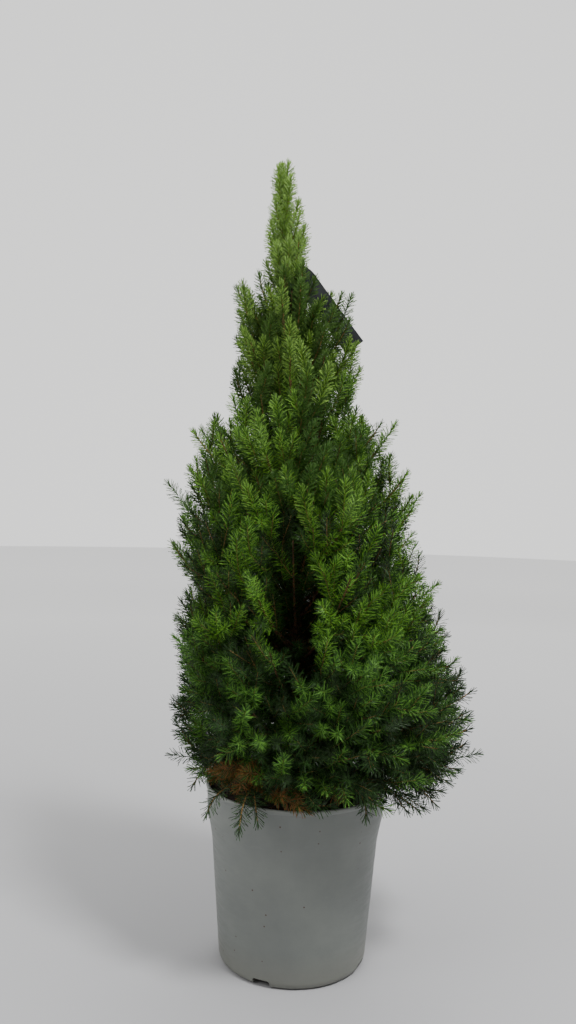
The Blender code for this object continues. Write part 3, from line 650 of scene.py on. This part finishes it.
def in_front_gap(point):
    """The dark upright gap in the middle of the front, where few shoots stand."""
    azimuth = math.degrees(math.atan2(point.y, point.x)) % 360
    return 0.325 < point.z < 0.535 and abs(azimuth - 263) < 12 and crown_share(point) > 0.40


def grow(root, heading, length, lift, limit):
    """A shoot's course: it wanders a little, bends up, and stops at the crown's edge. None where it has no room."""
    steps = max(3, round(length / 0.011))
    step = length / steps
    path, spot, way = [root], root, heading.normalized()
    for i in range(steps):
        wander = Vector((growth.uniform(-1, 1), growth.uniform(-1, 1), growth.uniform(-1, 1))) * 0.07
        way = (way + UP * (lift * step / 0.035) + wander).normalized()
        spot = spot + way * step
        if crown_share(spot) > limit or spot.z > 0.99 or not clear_of_made_things(spot):
            break
        gap = SHOOT_GAP + 0.0015 * min(1.0, max(0.0, (spot.z - 0.45) / 0.2))
        if i > 0 and crowded(spot, min(gap, 0.42 * (i + 1) * step)):
            break
        path.append(spot)
    if len(path) < 3 or (path[-1] - path[0]).length < 0.026:
        return None
    if in_front_gap(path[-1]) and growth.random() < 0.9:
        return None
    return path


def settle(path, order, foot, tip, first_needle):
    """Keep a shoot, and take its space."""
    for spot in path[1:]:
        occupied.setdefault(cell_of(spot), []).append(spot)
    shoots.append((path, order, foot, tip, first_needle))


def branch(path, order, spacing, longest, lift, flatness, start_share):
    """Side shoots along a course, and their own side shoots."""
    total = length_of(path)
    count = max(2, round(total * (1 - start_share) / spacing))
    turn = growth.uniform(0, 2 * math.pi)
    made = []
    for i in range(count):
        share = start_share + (0.97 - start_share) * (i + growth.uniform(0.2, 0.8)) / count
        root, heading = along(path, share)
        first = heading.cross(UP)
        first = first.normalized() if first.length > 0.1 else heading.orthogonal().normalized()
        second = first.cross(heading).normalized()
        for trial in range(3):
            angle = turn + i * GOLDEN_ANGLE + trial * 1.9
            out = first * math.cos(angle) + second * (math.sin(angle) * flatness)
            out.normalize()
            lean = math.radians(growth.uniform(44, 62) - 20 * share - 16 * min(1.0, max(0.0, (root.z - 0.35) / 0.35)))
            outward = Vector((root.x, root.y, 0)) - Vector((trunk_point(root.z).x, 0, 0))
            way = heading * math.cos(lean) + out * math.sin(lean) + UP * (lift * 0.35) + outward.normalized() * (0.40 * min(1.0, max(0.0, (0.56 - root.z) / 0.2)))
            length = min(longest, 0.040 + total * (1 - share) * 0.55) * growth.uniform(0.85, 1.15)
            limit = growth.uniform(0.97, 1.05) if growth.random() < 0.25 else growth.uniform(0.82, 0.97)
            if root.z < 0.42:
                limit = max(limit, growth.uniform(0.92, 1.03))
            course = grow(root, way, length, lift, limit)
            if course:
                settle(course, order, (0.0011, 0.0009, 0.0007, 0.0006)[order], 0.0004, 0.02)
                made.append(course)
                break
    return made


def lift_at(height):
    """How strongly shoots bend up: little at the skirt, most at the top."""
    return 0.10 + 0.34 * min(1.0, max(0.0, (height - 0.25) / 0.40))


for foot, across, back, tip_height in LEADING_SHOOTS:
    start = trunk_point(foot)
    tip = Vector((across, back, tip_height))
    knee = start + (tip - start) * 0.5 + Vector((across - start.x, back - start.y, 0)) * 0.28
    path = curve_through(start, knee, tip, 8)
    settle(path, 1, 0.0016, 0.0007, 0.10)
for root, knee, tip in DROOPING_SHOOTS:
    settle(curve_through(Vector(root), Vector(knee), Vector(tip), 8), 1, 0.0012, 0.0006, 0.15)
for lowest in (0.60, 0.86, 0.862):
    settle([trunk_point(lowest + (0.989 - lowest) * i / 40) for i in range(41)], 0, 0.0005, 0.0005, 0.0)
for name, path in boughs:
    settle([along(path, 0.18 + 0.82 * i / 20)[0] for i in range(21)], 0, 0.0008, 0.0007, 0.12)
for name, path in minor:
    settle([along(path, 0.22 + 0.78 * i / 14)[0] for i in range(15)], 0, 0.0008, 0.0007, 0.12)
for number in range(46):
    azimuth = number * GOLDEN_ANGLE
    out = Vector((math.cos(azimuth), math.sin(azimuth), 0))
    start = out * growth.uniform(0.045, 0.080) + UP * growth.uniform(0.236, 0.250)
    reach = 0.09
    wanted = growth.uniform(0.80, 1.0)
    while crown_share(out * reach + UP * 0.235) < wanted and reach < 0.2:
        reach += 0.004
    tip = out * reach + UP * (growth.uniform(0.236, 0.262) if reach < 0.135 else growth.uniform(0.222, 0.262))
    knee = start * 0.35 + tip * 0.65 + UP * 0.014
    settle(curve_through(start, knee, tip, 8), 1, 0.0011, 0.0006, 0.12)
hanging = [path for path, order, foot, tip, first_needle in shoots if 0.18 < path[-1].z < 0.266 and order == 1]
for number in range(26):
    # Upright shoots that fill the neck of the crown.
    foot, azimuth = 0.60 + 0.15 * number / 26, number * GOLDEN_ANGLE
    out = Vector((math.cos(azimuth), math.sin(azimuth), 0))
    start = trunk_point(foot)
    rise, wanted, reach = growth.uniform(0.070, 0.110), growth.uniform(0.50, 0.92), 0.012
    while crown_share(start + out * reach + UP * rise) < wanted and reach < 0.10:
        reach += 0.004
    tip = start + out * reach + UP * rise
    if clear_of_made_things(tip):
        settle(curve_through(start, start + out * (0.85 * reach) + UP * (0.45 * rise), tip, 8), 1, 0.0014, 0.0006, 0.12)
for number in range(180):
    foot = 0.234 + 0.62 * (number / 180) ** 1.5
    azimuth = number * GOLDEN_ANGLE + 1.0
    out = Vector((math.cos(azimuth), math.sin(azimuth), 0))
    start = trunk_point(foot)
    rise, wanted, reach = growth.uniform(0.004, 0.020) + 0.05 * min(1.0, (foot - 0.23) / 0.3), growth.uniform(0.40, 0.80), 0.02
    while crown_share(start + out * reach + UP * rise) < wanted and reach < 0.10:
        reach += 0.004
    knee = start + out * (0.6 * reach) + UP * (0.4 * rise)
    settle(curve_through(start, knee, start + out * reach + UP * rise, 7), 2, 0.0012, 0.0005, 0.06)
for spot, reach in DEAD_SPOTS:
    for number in range(round(reach / 0.0040)):
        tip = spot + Vector((growth.uniform(-1, 1), growth.uniform(-1, 1), growth.uniform(-0.3, 0.3))) * (reach * 0.75)
        out = Vector((tip.x, tip.y, 0)).normalized()
        root = tip - out * growth.uniform(0.030, 0.042) + UP * growth.uniform(-0.004, 0.012)
        if crown_share(tip) < 1.0 and clear_of_made_things(tip) and clear_of_made_things(root):
            settle(curve_through(root, (root + tip) / 2 + UP * 0.006, tip, 5), 1, 0.0009, 0.0005, 0.0)
laterals = []
for name, path in boughs:
    lift = lift_at(path[-1].z)
    laterals += branch(path, 1, 0.0135, 0.100, lift, 0.55 if name in ("skirt", "low") else 0.85, 0.20)
for name, path in minor:
    lift = lift_at(path[-1].z)
    laterals += branch(path, 1, 0.0150, 0.085, lift, 0.75, 0.25)
laterals += branch([trunk_point(0.24 + 0.60 * i / 60) for i in range(61)], 1, 0.0065, 0.075, 0.30, 1.0, 0.02)
laterals += branch([trunk_point(0.68 + 0.20 * i / 20) for i in range(21)], 1, 0.0060, 0.065, 0.30, 1.0, 0.02)
for path in hanging:
    branch(path, 3, 0.012, 0.032, -0.05, 0.7, 0.35)
finer = []
for path in laterals:
    if length_of(path) > 0.042:
        finer += branch(path, 2, 0.0150, 0.060, lift_at(path[-1].z), 0.7, 0.15)
for path in finer:
    if length_of(path) > 0.045:
        branch(path, 3, 0.016, 0.038, lift_at(path[-1].z), 0.7, 0.25)
for path in laterals + finer:
    if crown_share(path[-1]) > 0.72:
        branch(path, 3, 0.011, 0.044, lift_at(path[-1].z), 0.9, 0.25)


def strands(name, rows):
    """A curve object with one poly spline for each row of points and radii."""
    curve = bpy.data.curves.new(name, "CURVE")
    curve.dimensions = "3D"
    for path, radii in rows:
        spline = curve.splines.new("POLY")
        spline.points.add(len(path) - 1)
        spline.points.foreach_set("co", [value for spot in path for value in (*spot, 1.0)])
        spline.points.foreach_set("radius", radii)
    obj = bpy.data.objects.new(name, curve)
    bpy.context.scene.collection.objects.link(obj)
    return obj


# Spruce twig bark: matt orange-tan, finely grooved along the twig between the needle pegs.
twig_finish, tree, shader = finish_named("spruce twig bark")
place = add(tree, "ShaderNodeTexCoord").outputs["Object"]
grooves = add(tree, "ShaderNodeTexNoise", {"Vector": place, "Scale": 520.0, "Detail": 3.0, "Roughness": 0.6}).outputs["Fac"]
tree.links.new(ramp(tree, grooves, ((0.32, "#5C4526"), (0.52, "#82663A"), (0.70, "#A88852"))), shader.inputs["Base Color"])
shader.inputs["Roughness"].default_value = 0.78
groove_bump = add(tree, "ShaderNodeBump", {"Height": grooves, "Strength": 0.5, "Distance": 0.0004}).outputs[0]
tree.links.new(groove_bump, shader.inputs["Normal"])

tree = bpy.data.node_groups.new("tapered twigs", "GeometryNodeTree")
tree.interface.new_socket("Geometry", in_out="INPUT", socket_type="NodeSocketGeometry")
tree.interface.new_socket("Sides", in_out="INPUT", socket_type="NodeSocketInt")
tree.interface.new_socket("Thickness", in_out="INPUT", socket_type="NodeSocketFloat")
tree.interface.new_socket("Geometry", in_out="OUTPUT", socket_type="NodeSocketGeometry")
given = add(tree, "NodeGroupInput").outputs
section = add(tree, "GeometryNodeCurvePrimitiveCircle", {"Resolution": given["Sides"], "Radius": given["Thickness"]}).outputs[0]
own_radius = add(tree, "GeometryNodeInputRadius").outputs[0]
skin = add(tree, "GeometryNodeCurveToMesh", {"Curve": given["Geometry"], "Profile Curve": section, "Scale": own_radius, "Fill Caps": True}).outputs[0]
real = add(tree, "GeometryNodeRealizeInstances", {0: skin}).outputs[0]
dressed = add(tree, "GeometryNodeSetMaterial", {"Geometry": real, "Material": twig_finish}).outputs[0]
add(tree, "NodeGroupOutput", {0: dressed})

rows = []
for path, order, foot, tip, first_needle in shoots:
    if order == 0:
        continue
    count = len(path) - 1
    rows.append((path, [foot + (tip - foot) * i / count for i in range(count + 1)]))
twigs = grown("twigs", strands("twig_courses", rows), tree, {"Sides": 4, "Thickness": 1.0})
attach(twigs, "root")

# Needles
# Stiff needles, mostly 10 to 15 mm long, one on each peg all round the twig, and drawn in towards its tip.
# They are green and a little waxy, palest on the newest growth, and dead and brown in a few shaded spots near the rim.
# Their greens darken down the crown, towards its middle and on the older sprays: painted shade, over the real darker
# green of old needles.
NEEDLE_LENGTH = 0.0136
NEEDLE_WIDTH = 0.00118
NEEDLE_TILT = math.radians(60)
NEEDLE_TIP_TILT = math.radians(14)
NEEDLE_TUFT = 0.012
# The mature, inner and skirt greens, and the lower greens, are painted shade; the mature ones also carry the real
# darker green of older needles.
# name: slot, plain colour, metres between needles along a twig, girth of a needle
GREENS = {
    "leader": ("leader_needles", "#728F4C", 0.00056, 1.22),
    "top_fresh": ("top_needles", "#76993F", 0.00052, 1.20),
    "top_mature": ("high_needles", "#426022", 0.00058, 1.20),
    "upper_fresh": ("upper_needles", "#6F9A38", 0.00066, 1.08),
    "upper_mature": ("shoulder_needles", "#39591C", 0.00074, 1.08),
    "middle_fresh": ("middle_needles", "#6A9A34", 0.00080, 1.00),
    "middle_mature": ("middle_needles", "#305218", 0.00094, 1.00),
    "inner_shade": ("waist_needles", "#16280C", 0.00165, 1.20),
    "low_fresh": ("low_needles", "#5C8A34", 0.00084, 1.08),
    "low_mature": ("low_needles", "#2C4C1E", 0.00098, 1.08),
    "skirt_shade": ("skirt_needles", "#223A16", 0.00120, 1.15),
    "dead_brown": ("skirt_needles", "#7A542B", 0.00070, 1.10),
}
# Each twig's needles are of two colours that stand mixed all round it: its own, and the one given here for it, mostly
# darker, which paints shade among its needles.
PARTNERS = {
    "leader": "top_fresh",
    "top_fresh": "top_mature",
    "top_mature": "upper_mature",
    "upper_fresh": "upper_mature",
    "upper_mature": "middle_mature",
    "middle_fresh": "middle_mature",
    "middle_mature": "inner_shade",
    "inner_shade": "skirt_shade",
    "low_fresh": "low_mature",
    "low_mature": "inner_shade",
    "skirt_shade": "inner_shade",
    "dead_brown": "low_mature",
}


def colour_of(path):
    """Which colour a spray takes: by its height, by how far out its tip stands, and where the dead spots are. The
    darker greens low and inside the crown are painted shade.
    """
    tip, middle = path[-1], path[len(path) // 2]
    share, luck = crown_share(tip), dealt.random()
    if tip.z < 0.226:
        return "low_mature"
    for centre, reach in DEAD_SPOTS:
        if (middle - centre).length < reach and luck < 0.75:
            return "dead_brown"
    if tip.z > 0.866:
        return "leader"
    if tip.z < 0.30:
        if share < 0.5 and luck < 0.3:
            return "dead_brown"
        return "skirt_shade" if share < 0.75 or luck < 0.35 else "low_mature" if luck < 0.8 else "low_fresh"
    if share < 0.5:
        return "inner_shade"
    if tip.z < 0.42:
        return "low_fresh" if share > 0.78 and luck < 0.5 else "low_mature" if luck < 0.85 else "inner_shade"
    if tip.z < 0.58:
        return "middle_fresh" if share > 0.75 and luck < 0.55 else "middle_mature" if luck < 0.9 else "inner_shade"
    if tip.z < 0.73:
        return "upper_fresh" if luck < 0.55 else "upper_mature"
    return "top_fresh" if luck < 0.6 else "top_mature"


half = NEEDLE_WIDTH / 2
points = [(-half, 0, 0), (half, 0, 0), (0, -0.75 * half, 0.93 * NEEDLE_LENGTH), (0, 0.35 * half, NEEDLE_LENGTH)]
faces = [(0, 1, 2), (0, 3, 1), (0, 2, 3), (1, 3, 2)]
needle = new_object("one_needle", points, faces)

dealt = random.Random(5)
sprays = {name: [] for name in GREENS}


def deal(course, radii):
    """Give a spray a row of needles in its own colour, and a second row in the colour that goes with it, mostly darker,
    as painted shade among its needles.
    """
    name = colour_of(course)
    sprays[name].append((course, radii))
    sprays[PARTNERS[name]].append((course, radii))


for path, order, foot, tip, first_needle in shoots:
    start = first_needle
    course = [along(path, start + (1 - start) * i / (len(path) - 1))[0] for i in range(len(path))]
    course.append(course[-1] + (course[-1] - course[-2]).normalized() * 0.002)
    count = len(course) - 1
    size = 1.06 - 0.12 * min(1.0, max(0.0, (path[-1].z - 0.30) / 0.50))
    radii = [size * (0.86 + 0.18 * math.sin(math.pi * min(1.0, i / count * 1.15))) for i in range(count + 1)]
    if order == 0:
        # A bough's own needles take the colours of the shoots along it.
        thirds = max(2, count // 3)
        for k in range(0, count, thirds):
            piece = course[k : k + thirds + 1]
            if len(piece) > 1:
                deal(piece, radii[k : k + thirds + 1])
    else:
        deal(course, radii)

for name, (slot, colour, spacing, girth) in GREENS.items():
    # Waxy needle skin: one even green with a soft sheen off its wax, which is why each spray glints along its top.
    needle_finish, tree, shader = finish_named(f"waxy spruce needle {name}")
    shader.inputs["Base Color"].default_value = linear(colour)
    shader.inputs["Roughness"].default_value = 0.52
    shader.inputs["IOR"].default_value = 1.36
    needle_finish.diffuse_color = linear(colour)
    tree = bpy.data.node_groups.new(f"needles {name}", "GeometryNodeTree")
    tree.interface.new_socket("Geometry", in_out="INPUT", socket_type="NodeSocketGeometry")
    tree.interface.new_socket("Needle", in_out="INPUT", socket_type="NodeSocketObject")
    for label in ("Spacing", "Girth", "Tilt", "Tip Tilt", "Tuft", "Turn"):
        tree.interface.new_socket(label, in_out="INPUT", socket_type="NodeSocketFloat")
    tree.interface.new_socket("Geometry", in_out="OUTPUT", socket_type="NodeSocketGeometry")
    given = add(tree, "NodeGroupInput").outputs
    so_far = add(tree, "GeometryNodeSplineParameter").outputs["Length"]
    whole = add(tree, "GeometryNodeSplineLength").outputs["Length"]
    to_tip = add(tree, "ShaderNodeMath", {0: whole, 1: so_far}, operation="SUBTRACT").outputs[0]
    kept = add(tree, "GeometryNodeStoreNamedAttribute", {"Geometry": given["Geometry"], "Name": "place", "Value": to_tip}, data_type="FLOAT", domain="POINT").outputs[0]
    pegs = add(tree, "GeometryNodeCurveToPoints", mode="LENGTH")
    tree.links.new(kept, pegs.inputs["Curve"])
    tree.links.new(given["Spacing"], pegs.inputs["Length"])
    share = add(tree, "GeometryNodeInputNamedAttribute", {"Name": "place"}, data_type="FLOAT").outputs[0]
    drawn_in = add(tree, "ShaderNodeMapRange", {0: share, 1: given["Tuft"], 2: 0.0, 3: 0.0, 4: 1.0}).outputs[0]
    tilt = add(tree, "ShaderNodeMix", {0: drawn_in, 2: given["Tilt"], 3: given["Tip Tilt"]}).outputs[0]
    nod = add(tree, "FunctionNodeRandomValue", {2: -0.20, 3: 0.20, "Seed": 2}, data_type="FLOAT").outputs[1]
    tilt = add(tree, "ShaderNodeMath", {0: tilt, 1: nod}, operation="ADD").outputs[0]
    index = add(tree, "GeometryNodeInputIndex").outputs[0]
    swing = add(tree, "ShaderNodeMath", {0: index, 1: given["Turn"]}, operation="MULTIPLY").outputs[0]
    stray = add(tree, "FunctionNodeRandomValue", {2: -0.5, 3: 0.5, "Seed": 4}, data_type="FLOAT").outputs[1]
    swing = add(tree, "ShaderNodeMath", {0: swing, 1: stray}, operation="ADD").outputs[0]
    euler = add(tree, "ShaderNodeCombineXYZ", {0: tilt, 2: swing}).outputs[0]
    turned = add(tree, "FunctionNodeEulerToRotation", {0: euler}).outputs[0]
    stood = add(tree, "FunctionNodeRotateRotation", {0: pegs.outputs["Rotation"], 1: turned}, rotation_space="LOCAL").outputs[0]
    size = add(tree, "GeometryNodeInputRadius").outputs[0]
    luck = add(tree, "FunctionNodeRandomValue", {2: 0.82, 3: 1.12, "Seed": 7}, data_type="FLOAT").outputs[1]
    size = add(tree, "ShaderNodeMath", {0: size, 1: luck}, operation="MULTIPLY").outputs[0]
    young = add(tree, "ShaderNodeMapRange", {0: drawn_in, 1: 0.0, 2: 1.0, 3: 1.0, 4: 0.74}).outputs[0]
    size = add(tree, "ShaderNodeMath", {0: size, 1: young}, operation="MULTIPLY").outputs[0]
    sized = add(tree, "ShaderNodeCombineXYZ", {0: given["Girth"], 1: given["Girth"], 2: size}).outputs[0]
    one = add(tree, "GeometryNodeObjectInfo", {"Object": given["Needle"]}).outputs["Geometry"]
    stuck = add(tree, "GeometryNodeInstanceOnPoints", {"Points": pegs.outputs["Points"], "Instance": one, "Rotation": stood, "Scale": sized}).outputs[0]
    real = add(tree, "GeometryNodeRealizeInstances", {0: stuck}).outputs[0]
    dressed = add(tree, "GeometryNodeSetMaterial", {"Geometry": real, "Material": needle_finish}).outputs[0]
    add(tree, "NodeGroupOutput", {0: dressed})
    values = {
        "Needle": needle,
        "Spacing": spacing,
        "Girth": girth,
        "Tilt": NEEDLE_TILT,
        "Tip Tilt": NEEDLE_TIP_TILT,
        "Tuft": NEEDLE_TUFT,
        "Turn": GOLDEN_ANGLE,
    }
    piece = grown(f"needles_{name}", strands(f"courses_{name}", sprays[name]), tree, values)
    for attribute in [item.name for item in piece.data.attributes if item.name in ("place", "radius", "tilt")]:
        piece.data.attributes.remove(piece.data.attributes[attribute])
    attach(piece, "root")
    if name == "leader":
        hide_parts("leader_foliage")
    if name == "middle_mature":
        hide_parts(*[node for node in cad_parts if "_foliage_" in node])
bpy.data.objects.remove(needle)

# Plant tag
# A blank blade and strap, punched in one from black polypropylene sheet half a millimetre thick.
# The strap is pushed back through its own slot to make a ring round the leading shoot, and the blade hangs from it.
TAG_THICKNESS = 0.0006
TAG_STRAP = 0.006
LOOP_CENTRE = trunk_point(0.8625)
LOOP_RADIUS = 0.0105
tag_finish, tree, shader = finish_named("calendered polypropylene sheet")
# Calendered sheet: near black, with a smooth satin skin and faint drawing lines.
place = add(tree, "ShaderNodeTexCoord").outputs["Object"]
lines = add(tree, "ShaderNodeTexNoise", {"Vector": place, "Scale": 90.0, "Detail": 4.0}).outputs["Fac"]
tree.links.new(ramp(tree, lines, ((0.35, "#16181B"), (0.70, "#2A2D31"))), shader.inputs["Base Color"])
tree.links.new(ramp(tree, lines, ((0.30, 0.24), (0.75, 0.40))), shader.inputs["Roughness"])
shader.inputs["IOR"].default_value = 1.49
outline = [
    (-0.0165, -0.0005), (-0.0120, -0.0060), (-0.0070, -0.0105), (-0.0010, -0.0131), (0.0040, -0.0137),
    (TAG_LENGTH, -0.0137), (TAG_LENGTH, 0.0137), (0.0090, 0.0137), (0.0010, 0.0122), (-0.0060, 0.0085),
    (-0.0165, 0.0050),
]
rows = 26
points, faces = [], []
for i in range(rows + 1):
    down = -0.0165 + (TAG_LENGTH + 0.0165) * i / rows
    edges = [-0.0137, 0.0137]
    for number, line in enumerate((outline[0:6], [outline[k] for k in (10, 9, 8, 7, 6)])):
        for (start, first), (end, last) in zip(line, line[1:]):
            if start <= down <= end + 1e-9:
                edges[number] = first + (last - first) * (down - start) / max(1e-9, end - start)
                break
    bow = 0.0022 * math.sin(math.pi * max(0.0, down) / TAG_LENGTH)
    for k in range(5):
        across = edges[0] + (edges[1] - edges[0]) * k / 4
        middle = TAG_HEAD + TAG_DOWN * down + TAG_SIDE * across + TAG_FACE * (bow - 0.0006 * (across / 0.0137) ** 2)
        points += [middle + TAG_FACE * (TAG_THICKNESS / 2), middle - TAG_FACE * (TAG_THICKNESS / 2)]
for i in range(rows):
    for k in range(4):
        a, b = (i * 5 + k) * 2, (i * 5 + k + 1) * 2
        c, d = b + 10, a + 10
        faces += [(a, d, c, b), (a + 1, b + 1, c + 1, d + 1)]
for i in range(rows):
    for k, flip in ((0, False), (4, True)):
        a, d = (i * 5 + k) * 2, ((i + 1) * 5 + k) * 2
        quad = (a, a + 1, d + 1, d)
        faces.append(tuple(reversed(quad)) if flip else quad)
for i, flip in ((0, True), (rows, False)):
    for k in range(4):
        a, b = (i * 5 + k) * 2, (i * 5 + k + 1) * 2
        quad = (a, a + 1, b + 1, b)
        faces.append(tuple(reversed(quad)) if flip else quad)
blade = (points, faces)
points, faces, sides = [], [], 40
for k in range(sides):
    angle = 2 * math.pi * k / sides
    out = Vector((math.cos(angle), math.sin(angle), 0))
    for radius, level in ((-0.5, -0.5), (0.5, -0.5), (0.5, 0.5), (-0.5, 0.5)):
        points.append(LOOP_CENTRE + out * (LOOP_RADIUS + radius * TAG_THICKNESS) + UP * (level * TAG_STRAP))
for k in range(sides):
    n = (k + 1) % sides
    for c in range(4):
        d = (c + 1) % 4
        faces.append((4 * k + c, 4 * n + c, 4 * n + d, 4 * k + d))
tag = joined("blank_tag", [blade, (points, faces)], tag_finish)
shape = bmesh.new()
shape.from_mesh(tag.data)
bmesh.ops.recalc_face_normals(shape, faces=shape.faces)
shape.to_mesh(tag.data)
shape.free()
tag.data.shade_smooth()
tag.data.set_sharp_from_angle(angle=math.radians(40))
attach(tag, "root")
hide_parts("plant_tag")

# Studio
# A plain pale floor and soft light from above and in front, as in a nursery's photo corner.
# The camera stands 1.13 m in front of the pot at 58 cm, turned a degree and a half as the photograph is.
floor_finish, tree, shader = finish_named("matt painted board")
place = add(tree, "ShaderNodeTexCoord").outputs["Object"]
away = add(tree, "ShaderNodeVectorMath", {0: place}, operation="LENGTH").outputs["Value"]
far = add(tree, "ShaderNodeMapRange", {0: away, 1: 0.2, 2: 3.0, 3: 0.0, 4: 1.0}).outputs[0]
# The board is greyer near the pot and paler far off: painted shade round the pot, and painted light where it meets the
# background.
tree.links.new(ramp(tree, far, ((0.0, "#A9A9AB"), (1.0, "#EFEFEF"))), shader.inputs["Base Color"])
shader.inputs["Roughness"].default_value = 0.75
# The far floor glows a little, so that it runs into the pale background as a swept backdrop does.
glow = add(tree, "ShaderNodeMapRange", {0: away, 1: 0.9, 2: 5.0, 3: 0.0, 4: 0.24}).outputs[0]
shader.inputs["Emission Color"].default_value = (1.0, 1.0, 1.0, 1.0)
tree.links.new(glow, shader.inputs["Emission Strength"])
rim = [(8 * math.cos(2 * math.pi * k / 96), 8 * math.sin(2 * math.pi * k / 96), 0) for k in range(96)]
floor = new_object("studio_floor", rim, [tuple(range(96))], floor_finish)

world = bpy.data.worlds.new("studio")
bpy.context.scene.world = world
world.use_nodes = True
sky = world.node_tree
way = add(sky, "ShaderNodeTexCoord").outputs["Generated"]
back = add(sky, "ShaderNodeSeparateXYZ", {0: way}).outputs["Y"]
pale = add(sky, "ShaderNodeMapRange", {0: back, 1: -1.0, 2: 1.0, 3: 0.30, 4: 1.50}).outputs[0]
sky.nodes["Background"].inputs["Color"].default_value = linear("#F2F2F1")
sky.links.new(pale, sky.nodes["Background"].inputs["Strength"])

for name, spot, aim, size, power in (
    ("key_light", (0.75, -0.9, 2.35), (0, 0, 0.45), 0.4, 60.0),
    ("fill_light", (-1.7, -1.0, 1.5), (0, 0, 0.45), 1.0, 17.0),
    ("back_light", (0.5, 1.7, 2.2), (0, 0, 0.5), 1.2, 16.0),
):
    lamp = bpy.data.lights.new(name, "AREA")
    lamp.size, lamp.energy = size, power
    holder = bpy.data.objects.new(name, lamp)
    holder.location = spot
    holder.rotation_euler = (Vector(aim) - Vector(spot)).to_track_quat("-Z", "Y").to_euler()
    bpy.context.scene.collection.objects.link(holder)

lens = bpy.data.cameras.new("camera")
lens.sensor_fit, lens.sensor_height, lens.lens = "VERTICAL", 36.0, 31.64
lens.clip_start, lens.clip_end = 0.05, 50.0
camera = bpy.data.objects.new("camera", lens)
camera.matrix_world = (
    Matrix.Translation((-0.0187, -1.134, 0.584))
    @ Matrix.Rotation(math.radians(90 - 1.23), 4, "X")
    @ Matrix.Rotation(math.radians(1.48), 4, "Z")
)
bpy.context.scene.collection.objects.link(camera)
bpy.context.scene.camera = camera

bpy.context.view_layer.update()
